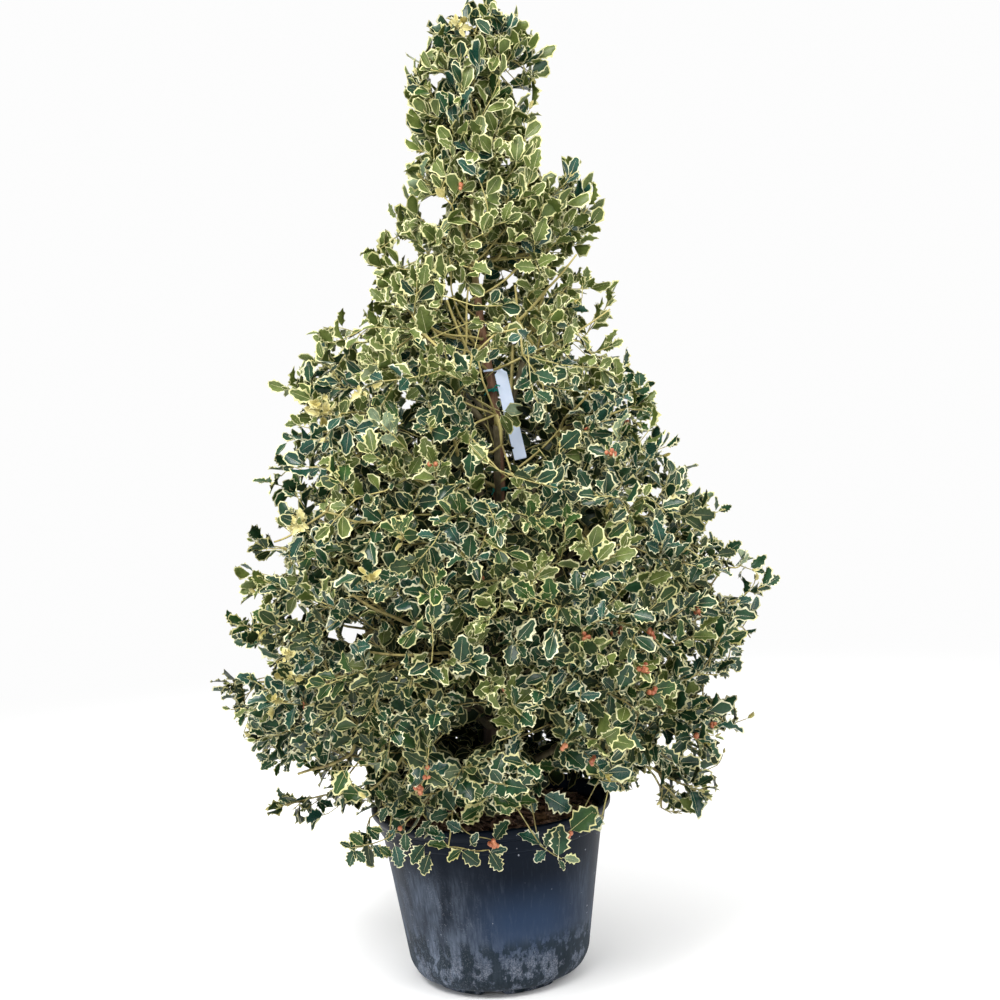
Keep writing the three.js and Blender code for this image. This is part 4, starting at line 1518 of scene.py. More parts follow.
    def divided(self, tree: Tree, random: np.random.Generator) -> Tree:
        """Cuts each long link into steps, a little off the straight line, so that finer twigs can start.

        Args:
            tree: a mass's tree.
            random: the random numbers.

        Returns:
            The tree with all its steps.
        """
        parts = Tree(tree.at[:2], tree.way[:2], tree.parent[:2], tree.run[:2], [False, False])
        numbers = [0, 1]
        for i in range(2, len(tree.at)):
            start, end = tree.at[tree.parent[i]], tree.at[i]
            span = float(np.linalg.norm(end - start))
            count = max(1, round(span / self.step))
            aside = square_to(tree.way[i], random.normal(size=3)) * span * self.bend_aside
            last = numbers[tree.parent[i]]
            for k in range(1, count + 1):
                share = k / count
                spot = start + (end - start) * share + aside * math.sin(math.pi * share)
                way = unit(spot - parts.at[last])
                last = parts.add(spot, way, last, span / count)
            numbers.append(last)
        return parts

    def shoot_buds(self, random: np.random.Generator) -> Array:
        """Lays the fine buds of the shoots that stand out: a few in line, and more round the line.

        Args:
            random: the random numbers.

        Returns:
            The buds.
        """
        size = self.crown.size_at(self.tips[:, 2])[:, None]
        rows = [self.tips - self.ways * size * back for back in self.shoot_buds_in_line]
        for _ in range(self.shoot_sprays):
            back, aside = random.uniform(*self.spray_back, (len(size), 1)), random.normal(size=(len(size), 3))
            spread = random.uniform(*self.spray_width, (len(size), 1)) * np.minimum(1, back / self.spray_full)
            rows.append(self.tips - self.ways * size * back + square_to(self.ways, aside) * size * spread)
        rows += [self.edge - self.edge_ways * back for back in self.edge_buds]
        back, aside = self.edge_side_bud
        sides = square_to(self.edge_ways, random.normal(size=self.edge.shape))
        return np.concatenate([*rows, self.edge - back * self.edge_ways + aside * sides])

    def trees(self) -> list[Tree]:
        """Grows the trees of all the masses: coarse twigs first, then fine ones out of their steps."""
        stream = Stream(self.seed)
        random = np.random.default_rng(self.seed)
        pairs = [bud for pair in zip(self.first, self.aimed) for bud in pair]
        buds = self.scatter(self.coarse, pairs, stream.draw)
        aimed = np.zeros(len(buds), dtype=bool)
        aimed[1 : len(pairs) : 2] = True
        owner = self.owners(buds, 0)
        fits = (self.owners(buds, self.coarse.margin) == owner) & self.clear(buds)
        fits &= self.openings.off_label(buds)

        shoots = self.shoot_buds(random)
        fine = self.scatter(self.fine, list(np.concatenate([shoots, buds])), random.random)
        ended = np.zeros(len(fine), dtype=bool)
        ended[2 * len(self.tips) : 3 * len(self.tips)] = True
        order = np.arange(len(fine))
        clumps = lattice_noise(fine, self.clump_width, self.clump_seed) > self.clump_floor
        roomy = (clumps | (fine[:, 2] > self.dense_from)) & self.over_skirt(fine)
        fresh = (order < len(shoots)) | ((order >= len(shoots) + len(buds)) & roomy)
        fresh &= self.clear(fine) & self.openings.free(fine) & self.openings.open_sky(fine, self.bud_margin)
        fine_owner = np.where(fresh, self.owners(fine, 0), -1)

        trees = []
        for number, mass in enumerate(self.masses):
            stub = self.stub + (0 if mass.bough is not None else self.stem.radius(mass.root[2]))
            tree = Tree([mass.root], [mass.way], [-1], [0.0], [False])
            tree.add(mass.root + mass.way * stub, mass.way, 0, self.stub)
            mine = (owner == number) & fits
            self.spread(tree, number, buds[mine], aimed[mine], self.coarse)
            tree = self.divided(tree, random)
            own = fine_owner == number
            self.spread(tree, number, fine[own], ended[own], self.fine)
            trees.append(tree)
        return trees


# ------------------------------------------------------------------ leaves


@dataclass(frozen=True)
class LeafShape:
    """A leaf of length one along +X, with its upper face to +Z."""

    width: float = 0.56
    spines: int = 4
    bite: float = 0.2
    margin: float = 0.15
    fold: float = 0.35
    droop: float = 0.22
    wave: float = 0.05
    peak: float = 0.85
    stalk: float = 0.12
    lean: float = 0.035
    green_end: float = 0.93
    stalk_width: float = 0.014
    midrib: float = 0.0055
    midrib_lift: float = 0.004
    halfway: float = 0.4

    def build(self) -> tuple[Array, list[Array], list[Array]]:
        """Shapes the leaf.

        At the share t of the blade the half width is w = width/2 sin(pi t^peak)^0.8. The outline takes
        w times one minus the bite in the hollows, and times one plus half of it at the spines, which lean
        forward. The green part ends where the margin's share is left, half as much again at the spines.
        A point at (x, y) is raised by fold |y|, falls by droop x^2, and the spines are bent up and down
        in turn, those of one side against those of the other. A slim pale rib lies in the fold.

        Returns:
            Points, the green faces and the faces of the margin and stalk.
        """
        n, last = self.spines, 2 * self.spines
        t = np.arange(last + 1) / last
        spiny = np.arange(last + 1) % 2
        half = self.width / 2 * np.abs(np.sin(np.pi * t**self.peak)) ** 0.8
        out_y = half * np.where(spiny, 1 + self.bite / 2, 1 - self.bite)
        in_y = out_y * (1 - self.margin * (1 + 0.5 * spiny))
        out_x, in_x = t + spiny * self.lean, np.minimum(t + spiny * self.lean / 2, self.green_end)
        bend = self.wave * np.where(spiny, np.where(np.arange(last + 1) % 4 == 1, 1.0, -0.7), -0.15)

        def lift(x: Array, y: Array, extra: Array | float = 0) -> Array:
            """Raises points of the flat leaf to its folded and drooping form."""
            x = self.stalk + (1 - self.stalk) * x
            return np.stack([x, y, self.fold * np.abs(y) - self.droop * x**2 + extra], axis=-1)

        inside = slice(1, last)
        rib_x = np.minimum(t[::2], self.green_end)
        parts = [lift(rib_x, 0 * rib_x), lift(t[-1:], 0 * t[-1:])]
        for reach, x, y in ((self.halfway, in_x, in_y), (1.0, out_x, out_y)):
            for side in (1, -1):
                parts.append(lift(x[inside], side * y[inside], side * reach * bend[inside]))
        stalk = lift(np.zeros(4), np.array([-1, 1, 1, -1]) * self.stalk_width)
        stalk[:2, 0] = 0
        first = sum(len(part) for part in parts)
        rows = np.arange(4 * (last - 1)).reshape(4, -1) + n + 2
        inner = [[0, *rows[side].tolist(), n] for side in (0, 1)]
        outer = [[0, *rows[side + 2].tolist(), n + 1] for side in (0, 1)]
        green, edge = [], [(first, first + 3, first + 2, first + 1)]
        for side, order in ((0, 1), (1, -1)):
            edge_in, edge_out = inner[side], outer[side]
            for i in range(n):
                low, mid, high = edge_in[2 * i : 2 * i + 3]
                fan = [(i, mid, low), (i, i + 1, mid), (i + 1, high, mid)]
                green += [face[::order] for face in fan if len(set(face)) == 3]
            for j in range(last):
                face = (edge_in[j], edge_in[j + 1], edge_out[j + 1], edge_out[j])
                edge.append((face if j else face[:3])[::order])
        parts.append(stalk)
        if self.midrib:
            x, y = np.array([0.0, 0.42, 0.84]), self.midrib * np.array([1.0, 0.8, 0.2])
            over = 2 * self.fold * self.midrib + self.midrib_lift
            parts += [lift(x, -y, over), lift(x, y, over)]
            edge += [(first + 4 + i, first + 5 + i, first + 8 + i, first + 7 + i) for i in (0, 1)]
        return np.concatenate(parts), self.by_size(green), self.by_size(edge)

    @staticmethod
    def by_size(faces: list[tuple[int, ...]]) -> list[Array]:
        """Sorts faces into arrays of triangles and of quads."""
        return [np.array([f for f in faces if len(f) == k], dtype=int).reshape(-1, k) for k in (3, 4)]


@dataclass
class Leaves:
    """Where the leaves sit, one row each."""

    root: Array
    way: Array
    normal: Array
    length: Array
    shape: Array
    tint: Array

    def pick(self, rows: Array) -> "Leaves":
        """Keeps some of the rows."""
        return Leaves(*(getattr(self, name)[rows] for name in self.__dataclass_fields__))

    def with_more(self, *others: "Leaves") -> "Leaves":
        """Gives these leaves and others as one."""
        sets = [vars(leaves) for leaves in (self, *others)]
        return Leaves(**{name: np.concatenate([part[name] for part in sets]) for name in sets[0]})

    def spread(self, skin: Surface, points: Array, faces: list[Array]) -> None:
        """Copies one shape to every row: root + length (x way + y side + z normal).

        Args:
            skin: what the copies are added to.
            points: the shape's points.
            faces: its faces, in arrays by their number of corners.
        """
        if not len(self.root) or not any(len(part) for part in faces):
            return
        used = np.unique(np.concatenate([part.ravel() for part in faces]))
        renumber = np.zeros(len(points), dtype=int)
        renumber[used] = np.arange(len(used))
        basis = np.stack([self.way, np.cross(self.normal, self.way), self.normal], axis=1)
        placed = self.root[:, None] + self.length[:, None, None] * (points[used] @ basis)
        offsets = (np.arange(len(self.root)) * len(used))[:, None, None]
        copies = [(renumber[part] + offsets).reshape(-1, part.shape[1]) for part in faces]
        skin.add(placed, *copies)


@dataclass(frozen=True)
class MarkedLeaves:
    """Leaves with places of their own.

    Attributes:
        shoots: shoots whose leaves are cream, as x and z where they are seen, and a radius.
        tufts: tufts of cream leaves, as x and z, how many leaves, and how far they stand forward.
        near: leaves at the foot and by the label, as x and z of root and tip, depth y, tint and shape.
    """

    shoots: Rows = (
        (-332, 1334, 24), (-64, 1306, 12), (-408, 1058, 12), (-506, 805, 10), (-465, 708, 12),
        (25, 2196, 12), (-526, 1041, 14),
    )
    tufts: Rows = (
        (-334, 1338, 26, 45), (-338, 1318, 12, 40), (-64, 1306, 8, 30), (-78, 1290, 7, 30),
        (-392, 1082, 8, 25), (-422, 1058, 7, 20), (-506, 805, 5, 10), (-470, 773, 6, 20),
        (-448, 765, 5, 20), (-465, 700, 7, 20), (-500, 668, 5, 15), (-240, 1391, 6, 20),
        (23, 2196, 6, 10), (8, 2180, 4, 10), (-254, 922, 5, 30), (-540, 1036, 4, 0), (-133, 658, 5, 30),
    )
    near: Rows = (
        (81, 1307, 137, 1310, -60, 4, 10), (76, 1305, 99, 1252, -62, 3, 7),
        (81, 1309, 121, 1269, -58, 3, 9), (74, 1312, 76, 1333, -56, 0, 8),
        (176, 308, 248, 363, -322, 2, 2), (116, 281, 66, 319, -334, 1, 1),
        (149, 246, 161, 325, -342, 0, 0), (120, 271, 151, 324, -332, 0, 4),
        (125, 271, 92, 244, -338, 1, 2), (159, 250, 201, 242, -342, 4, 5),
        (149, 246, 166, 221, -342, 0, 1), (1, 297, 33, 347, -340, 0, 0),
        (-12, 279, 16, 223, -342, 0, 1), (-12, 274, 31, 279, -336, 1, 5),
        (-80, 283, -33, 245, -340, 0, 2), (-72, 285, -114, 261, -342, 2, 5),
        (-105, 289, -151, 309, -338, 2, 3), (-158, 304, -201, 257, -338, 0, 0),
        (-150, 283, -175, 225, -340, 0, 1), (-70, 325, -109, 351, -326, 1, 4),
        (-78, 349, -19, 388, -322, 2, 5), (-74, 344, -23, 370, -318, 2, 5),
        (-84, 371, -124, 437, -318, 0, 0), (-95, 372, -148, 363, -320, 0, 2),
        (-234, 309, -219, 246, -338, 1, 1), (-217, 419, -219, 358, -306, 0, 2),
        (-1, 411, 55, 367, -300, 1, 0), (-16, 407, 15, 367, -296, 0, 4),
        (119, 406, 189, 359, -300, 1, 0), (102, 407, 94, 358, -296, 1, 1),
        (256, 428, 302, 402, -288, 1, 2), (-119, 451, -53, 450, -300, 0, 0),
        (24, 443, 88, 439, -296, 0, 2), (-4, 440, 5, 472, -300, 2, 5),
        (-125, 314, -147, 344, -330, 0, 4), (-56, 291, -35, 321, -330, 1, 9),
        (-184, 318, -161, 340, -325, 0, 2), (-266, 313, -292, 353, -338, 0, 0),
        (-302, 306, -338, 337, -340, 2, 4), (-323, 305, -348, 257, -340, 0, 1),
        (-285, 310, -259, 275, -340, 1, 2), (-333, 303, -360, 319, -341, 0, 5),
        (-206, 336, -207, 284, -332, 0, 1), (-117, 323, -161, 335, -330, 0, 4),
        (-106, 313, -146, 323, -333, 1, 2), (-52, 319, -42, 288, -330, 0, 1),
        (-176, 438, -208, 416, -302, 1, 0), (-203, 388, -213, 421, -304, 1, 3),
        (-273, 437, -246, 412, -300, 2, 1), (-44, 409, -79, 413, -300, 1, 2),
        (80, 397, 29, 447, -298, 0, 0), (134, 431, 82, 460, -296, 0, 2),
        (-240, 397, -268, 361, -312, 0, 1), (-183, 370, -158, 397, -314, 2, 4),
        (-167, 393, -192, 366, -312, 0, 0), (-227, 344, -252, 313, -330, 1, 1),
        (-91, 402, -50, 386, -305, 0, 4), (-255, 336, -285, 348, -336, 2, 5),
        (-333, 298, -302, 268, -341, 0, 0), (-272, 304, -240, 279, -338, 2, 1),
        (-141, 358, -171, 331, -322, 0, 2), (-106, 389, -120, 357, -312, 1, 1),
    )
    tuft_lengths: tuple[float, float] = (17.0, 33.0)
    tuft_shapes: tuple[int, ...] = (3, 6, 11)
    tuft_cream: float = 0.86
    tuft_spread: float = 6.0
    tuft_front: float = 0.45
    tuft_rise: float = 0.3
    tuft_splay: float = 0.75
    tuft_tilt: float = 0.3
    near_lift: float = 0.35
    near_tilt: float = 0.22
    depth_cost: float = 0.1
    tip_forward: float = 5.0

    def on_shoot(self, points: Array) -> Array:
        """Says whether each point is seen on a cream shoot."""
        marks = np.array(self.shoots, dtype=float)
        return np.any(sight_gaps(points, marks[:, :2]) < marks[:, 2], axis=1)

    def in_tufts(self, leaves: Leaves, random: np.random.Generator) -> Leaves:
        """Crowds cream leaves round the foremost leaf at each mark, spread like a rosette.

        Args:
            leaves: the leaves that are there already.
            random: the random numbers.

        Returns:
            The new leaves.
        """
        marks = np.array(self.tufts, dtype=float)
        miss = sight_gaps(leaves.root, marks[:, :2]) + self.depth_cost * leaves.root[:, 1:2]
        counts = marks[:, 2].astype(int)
        root = np.repeat(leaves.root[np.argmin(miss, axis=0)], counts, axis=0)
        front = unit(EYE - root)
        splay = random.normal(0, self.tuft_splay, root.shape)
        way = unit(self.tuft_front * front + self.tuft_rise * UP + splay)
        forward = np.repeat(marks[:, 3:], counts, axis=0) * front
        root = root + forward + random.normal(0, self.tuft_spread, root.shape)
        normal = square_to(way, front + random.normal(0, self.tuft_tilt, root.shape))
        length = random.uniform(*self.tuft_lengths, len(root))
        shape = random.choice(self.tuft_shapes, len(root))
        chances = [1 - self.tuft_cream, self.tuft_cream]
        tint = random.choice([Tint.OLIVE.number, Tint.CREAM.number], len(root), p=chances)
        return Leaves(root, way, normal, length, shape, tint)

    def near_ones(self, random: np.random.Generator) -> Leaves:
        """Sets the near leaves, each facing the front with a slight tilt.

        Args:
            random: the random numbers.

        Returns:
            The leaves.
        """
        rows = np.array(self.near, dtype=float)
        root = on_sight(rows[:, :2], rows[:, 4])
        tip = on_sight(rows[:, 2:4], rows[:, 4] - self.tip_forward)
        length = np.linalg.norm(tip - root, axis=1)
        tilt = random.normal(0, self.near_tilt, root.shape)
        normal = unit(EYE - root) + self.near_lift * UP + tilt
        way = (tip - root) / length[:, None]
        tint, shape = rows[:, 5:].astype(int).T
        return Leaves(root, way, square_to(way, normal), length, shape, tint)


@dataclass(frozen=True)
class Berries:
    """Clusters of berries among the leaves.

    Attributes:
        spots: marked clusters, as x and z where they are seen, and how many berries they have.
        depth: how far before the crown's middle a cluster hangs, or else a cost is added.
        chance_clusters: how many more there are by chance, and below what height.
        reach: how far a berry hangs from its leaf's root.
        length: how much longer than wide a berry is.
    """

    spots: Rows = (
        (-3, 312, 3), (181, 305, 2), (-201, 340, 1), (326, 774, 7), (388, 751, 6), (504, 803, 4),
        (284, 1262, 4), (317, 1213, 6), (368, 693, 5), (387, 610, 5), (463, 499, 4), (453, 535, 4),
        (202, 455, 4), (-187, 455, 5), (-6, 326, 3), (26, 1825, 3), (135, 530, 3), (-174, 471, 3),
        (410, 596, 3), (367, 670, 4),
    )
    depth: float = 105.0
    behind_cost: float = 900.0
    depth_cost: float = 0.12
    chance_clusters: int = 30
    chance_below: float = 1350.0
    chance_sizes: tuple[int, int] = (2, 5)
    droop: float = -0.1
    radii: tuple[float, float] = (4.4, 5.7)
    reach: tuple[float, float] = (8.0, 15.0)
    scatter: float = 0.55
    length: float = 1.06
    sides: int = 8
    rings: int = 5
    stalk_radius: float = 0.6
    stalk_bow: float = 1.5

    def clusters(self, crown: Crown, roots: Array, random: np.random.Generator) -> list[tuple[int, int]]:
        """Chooses the leaves that carry clusters: the foremost one at each mark, and a few by chance.

        Args:
            crown: the crown's outline.
            roots: where the leaves sit.
            random: the random numbers.

        Returns:
            The number of each leaf, and how many berries it carries.
        """
        marks = np.array(self.spots, dtype=float)
        front = roots[:, 1] < crown.section(roots[:, 2])[0][:, 1] - self.depth
        cost = np.where(front, 0, self.behind_cost)[:, None] + self.depth_cost * roots[:, 1:2]
        miss = sight_gaps(roots, marks[:, :2]) + cost
        low = np.flatnonzero(roots[:, 2] < self.chance_below)
        more = random.choice(low, self.chance_clusters, replace=False)
        chosen = list(zip(np.argmin(miss, axis=0), marks[:, 2].astype(int)))
        return chosen + [(leaf, int(random.integers(*self.chance_sizes, endpoint=True))) for leaf in more]

    def build(self, crown: Crown, roots: Array, random: np.random.Generator) -> None:
        """Makes the berries, each a low sphere a little drawn out, and their stalks.

        Args:
            crown: the crown's outline.
            roots: where the leaves sit.
            random: the random numbers.
        """
        fruit, stalks = Surface(), Surface()
        angles = np.linspace(0, math.pi, self.rings + 2)
        profile = np.stack([np.sin(angles), -self.length * np.cos(angles)], axis=-1)
        ball, *faces = revolved(profile, self.sides)
        for leaf, count in self.clusters(crown, roots, random):
            root = roots[leaf]
            out = crown.outward(root[None], self.droop)[0]
            ways = unit(out + random.normal(0, self.scatter, (count, 3)))
            middles = root + ways * random.uniform(*self.reach, (count, 1))
            for middle, radius in zip(middles, random.uniform(*self.radii, count)):
                fruit.add(middle + ball * radius, *faces)
                path = np.stack([root, (root + middle) / 2 + self.stalk_bow * UP, middle])
                stalks.tube(path, self.stalk_radius * circle(3), UP + 0.1)
        fruit.piece("berries", BERRY, "foliage", [])
        stalks.piece("berry_stalks", Bark.TWIG.value, "bark", [])


@dataclass
class Foliage:
    """Twigs, leaves and berries that stand for the masses.

    Attributes:
        lengths: the full length of a leaf by height.
        airy: how much wider the leaves on inner twigs are spaced, by height.
        rising: how steeply leaves rise, by height.
        olive: the share of olive sprays by height. So for deep, sea and shady ones.
        shaded: how much of the painted shade inside the crown, the SHADE tint, is left, by height.
        smooth: the share of leaves with few spines, by height.
        shortest: the least share of the full length, with longer and bias for what chance adds.
        checked: the leaf's own points that have to fit in, the tip and the middle first.
        splay: the angle between a leaf and its twig, less towards a tip.
        smooth_from: the first shape with few spines. The shapes plain and young_leaf have none.
    """

    growth: Growth
    marked: MarkedLeaves = field(default_factory=MarkedLeaves)
    tip_radius: float = 1.3
    pipe: float = 0.4
    young_width: float = 2.2
    thinnest: float = 0.9
    side_widths: tuple[float, ...] = (1.8, 3.0)
    young: int = 2
    leafy: int = 9
    spacing: float = 12.5
    sparse: float = 26.0
    lengths: Steps = ((380, 750, 1500, 1850), (66, 54, 54, 66))
    shortest: float = 0.6
    longer: float = 0.55
    bias: float = 0.8
    taper: float = 0.3
    shade_depth: float = 0.56
    inner_shade: float = 0.3
    inner_spacing: float = 14.0
    airy: Steps = ((450, 800, 1300, 1400, 1540), (0.6, 0.78, 0.68, 0.9, 2.5))
    rising: Steps = ((350, 600, 1500, 2050), (-0.1, 0.1, 0.3, 0.65))
    olive: Steps = ((500, 1250, 1500, 1850, 2000), (0.06, 0.24, 0.9, 0.9, 0.46))
    deep: Steps = ((400, 1300, 1500, 1850, 2000), (0.56, 0.44, 0.04, 0.04, 0.28))
    sea: Steps = ((400, 1300, 2000), (0.22, 0.17, 0.12))
    shady: Steps = ((400, 700, 1100, 1300), (0.26, 0.2, 0.12, 0.0))
    shaded: Steps = ((1250, 1500), (1.0, 0.0))
    smooth: Steps = ((600, 1400, 2000), (0.12, 0.3, 0.75))
    moss_until: float = 1.07
    patch_width: float = 150.0
    patch_share: float = 0.22
    patch_seed: int = 11
    stray_cream: float = 0.001
    young_cream: float = 0.3
    cream_size: float = 0.68
    outline_slack: float = 12.0
    checked: Rows = ((1, 0), (0.5, 0), (0.5, -0.24), (0.5, 0.24))
    inner_size: float = 1.3
    light_lift: float = 0.7
    light_jitter: float = 0.68
    way_jitter: float = 0.2
    splay: float = 1.15
    splay_drop: float = 0.45
    splay_jitter: float = 0.12
    tuft_leaves: int = 3
    tuft_share: float = 0.6
    tuft_size: float = 0.38
    tuft_splay: float = 0.55
    tuft_rise: float = 0.3
    seed: int = 881
    shapes: tuple[LeafShape, ...] = (
        LeafShape(0.62, 5, 0.26, 0.14, 0.35, 0.20, 0.075),
        LeafShape(0.57, 5, 0.27, 0.13, 0.55, 0.30, 0.085),
        LeafShape(0.66, 4, 0.24, 0.12, 0.22, 0.12, 0.060),
        LeafShape(0.58, 4, 0.28, 0.16, 0.70, 0.34, 0.090),
        LeafShape(0.64, 5, 0.23, 0.14, 0.42, 0.02, 0.070),
        LeafShape(0.60, 4, 0.26, 0.27, 0.45, 0.22, 0.080),
        LeafShape(0.55, 3, 0.24, 0.20, 0.85, 0.10, 0.070),
        LeafShape(0.57, 3, 0.11, 0.16, 0.30, 0.15, 0.025, 1.0),
        LeafShape(0.62, 3, 0.14, 0.18, 0.55, -0.08, 0.040, 1.15),
        LeafShape(0.54, 4, 0.16, 0.18, 0.40, 0.10, 0.040, 1.0),
        LeafShape(0.64, 2, 0.12, 0.13, 0.30, 0.15, 0.040, midrib=0.0),
        LeafShape(0.46, 2, 0.10, 0.26, 0.60, -0.10, 0.040, midrib=0.0),
    )
    smooth_from: int = 7
    plain: int = 10
    young_leaf: int = 11
    bough_radius: float = 7.0
    trunk_nodes: tuple[float, float, float] = (700.0, 2000.0, 20.0)

    def __post_init__(self) -> None:
        """Starts the random numbers."""
        self.random = np.random.default_rng(self.seed)

    def tints(self, ends: Array) -> Array:
        """Deals a tint to each spray, by height and by chance, and cream to a few marked shoots.

        Args:
            ends: where the sprays end.

        Returns:
            The number of each spray's tint.
        """
        count = len(ends)
        height = ends[:, 2]
        patch = lattice_noise(ends, self.patch_width, self.patch_seed)
        pick = self.random.random(count) + self.patch_share * patch
        shares = [np.interp(height, *steps) for steps in (self.olive, self.deep, self.sea)]
        edges = np.column_stack([*np.cumsum(shares, axis=0), np.full(count, self.moss_until)])
        order = np.array([tint.number for tint in (Tint.OLIVE, Tint.DEEP, Tint.SEA, Tint.MOSS, Tint.SAGE)])
        tints = order[np.sum(pick[:, None] > edges, axis=1)]
        front = ends[:, 1] < self.growth.crown.section(height)[0][:, 1]
        creamy = (self.marked.on_shoot(ends) & front) | (self.random.random(count) < self.stray_cream)
        # Painted shade: some low sprays get the dark SHADE tint.
        shady = self.random.random(count) < np.interp(height, *self.shady)
        return np.where(creamy, Tint.CREAM.number, np.where(shady, Tint.SHADE.number, tints))

    def leaves_on(self, start: Array, end: Array, count: int, tip: bool, turn: float) -> tuple[Array, ...]:
        """Places the leaves of one link.

        They go round the twig by the golden angle, splay less towards a tip, and face the light. A tip
        has a leaf straight on, and many have a tuft of young leaves too.

        Args:
            start: where the link starts.
            end: where it ends.
            count: how many leaves it has.
            tip: whether it is a shoot's last link.
            turn: the angle of its first leaf.

        Returns:
            Roots, ways, normals, and whether each leaf is a young one.
        """
        way = unit(end - start)
        light = self.growth.crown.outward(end[None], self.light_lift)[0]
        rise = np.interp(end[2], *self.rising)
        share = (np.arange(count) + 0.6) / count
        roots = start + (end - start) * share[:, None]
        across = square_to(way, light)
        tuft = self.tuft_leaves if tip and self.random.random() < self.tuft_share else 0
        angles = turn + GOLDEN_ANGLE * np.arange(count + tuft)
        sides = turn_about(np.broadcast_to(across, (count + tuft, 3)), way, angles)
        splay = self.splay - self.splay_drop * share * tip + self.random.normal(0, self.splay_jitter, count)
        splay = splay[:, None]
        ways = way * np.cos(splay) + sides[:count] * np.sin(splay)
        if tip:
            roots, ways = np.vstack([roots, end]), np.vstack([ways, way])
        ways = unit(ways + rise * UP + self.random.normal(0, self.way_jitter, ways.shape))
        lights = unit(light + self.random.normal(0, self.light_jitter, ways.shape))
        normals = square_to(ways, lights)
        young = np.repeat([False, True], [len(ways), tuft])
        if tuft:
            shoots = unit(way + self.tuft_splay * sides[count:] + self.tuft_rise * UP)
            roots, ways = np.vstack([roots, np.tile(end, (tuft, 1))]), np.vstack([ways, shoots])
            normals = np.vstack([normals, square_to(shoots, way + 0.2 * UP)])
        return roots, ways, normals, young

    def grow(self, trees: list[Tree]) -> tuple[Leaves, list[Array], list[Array]]:
        """Gathers leaves and twig lines from all the trees. Twigs whose leaves all fell away go too.

        Args:
            trees: one tree for each mass.

        Returns:
            The leaves, the twig lines and their radii.
        """
        parts, sprays = [], []
        for tree in trees:
            carried, at, kids = tree.carried(), np.array(tree.at), tree.kids()
            for i in range(2, len(at)):
                start = at[tree.parent[i]]
                span = float(np.linalg.norm(at[i] - start))
                size = self.growth.crown.size_at(at[i, 2]) ** self.taper
                inner = carried[i] > self.leafy
                spacing = self.spacing if carried[i] <= self.young else self.sparse
                # Inner wood gets larger leaves as dark fill where a real holly's wood is bare; deep in the
                # crown they take the painted shade of the SHADE tint.
                if inner:
                    spacing = self.inner_spacing * np.interp(at[i, 2], *self.airy)
                count = max(1, int(span / (spacing * size)))
                parts.append(self.leaves_on(start, at[i], count, not kids[i], 3 * GOLDEN_ANGLE * i))
                sprays.append((*at[i], inner, len(parts[-1][0])))
        root, way, normal, young = (np.concatenate([part[k] for part in parts]) for k in range(4))
        rows = np.array(sprays)
        spray = np.repeat(np.arange(len(rows)), rows[:, 4].astype(int))
        leaves = self.dealt(root, way, normal, young, rows[spray, 3] > 0, self.tints(rows[:, :3])[spray])
        kept = self.kept(leaves)
        clad = np.bincount(spray[kept], minlength=len(rows)) > 0
        lines, widths, first = [], [], 0
        for tree in trees:
            last = first + len(tree.at) - 2
            kids = tree.kids([True, True, *clad[first:last]])
            radii = self.tip_radius * np.maximum(tree.carried(), 1) ** self.pipe
            lines += self.twig_lines(kids, radii, np.array(tree.at), widths)
            first = last
        leaves = leaves.pick(kept)
        tufts = self.marked.in_tufts(leaves, self.random)
        return leaves.with_more(tufts, self.marked.near_ones(self.random)), lines, widths

    def dealt(
        self, root: Array, way: Array, normal: Array, young: Array, inner: Array, tint: Array
    ) -> Leaves:
        """Deals each leaf its length, shape and tint.

        Args:
            root: where the leaves sit.
            way: where they point.
            normal: where their upper faces look.
            young: which of them are young ones.
            inner: which of them sit on the wood inside the crown.
            tint: the tint of each leaf's spray.

        Returns:
            The leaves.
        """
        count, height = len(root), root[:, 2]
        length = np.interp(height, *self.lengths) * self.growth.crown.size_at(height) ** self.taper
        length = length * (self.shortest + self.longer * self.random.random(count) ** self.bias)
        length = np.where(tint == Tint.CREAM.number, self.cream_size * length, length)
        length = length * np.where(young, self.tuft_size, np.where(inner, self.inner_size, 1.0))
        smooth = self.random.random(count) < np.interp(height, *self.smooth)
        draw = self.random.random(count)
        smooth_shape = self.smooth_from + draw * (self.plain - self.smooth_from)
        shape = np.where(smooth, smooth_shape, draw * self.smooth_from)
        middle, radius = self.growth.crown.section(height)
        share = np.linalg.norm(root - middle, axis=1) / radius
        # Painted shade: leaves deep in the crown get the dark SHADE tint and the plain shape, fading out
        # between 1250 and 1500 mm.
        limit = (self.shade_depth + self.inner_shade * inner) * np.interp(height, *self.shaded)
        deep = (share < limit) & ~self.growth.near_stray(root)
        shape = np.where(deep, self.plain, shape.astype(int))
        shape = np.where(young, self.young_leaf, shape)
        fresh = np.where(self.random.random(count) < self.young_cream, Tint.CREAM.number, Tint.OLIVE.number)
        tint = np.where(young, fresh, tint)
        tint = np.where(deep, Tint.SHADE.number, tint)
        return Leaves(root, way, normal, length, shape, tint)

    def kept(self, leaves: Leaves) -> Array:
        """Says which leaves stay in the crown's outline and leave the sky and the pot free.

        Args:
            leaves: all the leaves.

        Returns:
            One answer for each leaf.
        """
        growth = self.growth
        side = np.cross(leaves.normal, leaves.way)
        spots = [leaves.root + leaves.length[:, None] * (along * leaves.way + aside * side)
                 for along, aside in self.checked]
        tips, middles = spots[:2]
        middle, radius = growth.crown.section(tips[:, 2])
        inside = np.linalg.norm(tips - middle, axis=1) < radius + self.outline_slack
        fits = (inside & growth.over_skirt(middles)) | growth.near_stray(tips)
        fits &= ~growth.openings.recessed(leaves.root)
        for spot in spots:
            fits &= growth.clear(spot) & growth.openings.free(spot)
        return fits

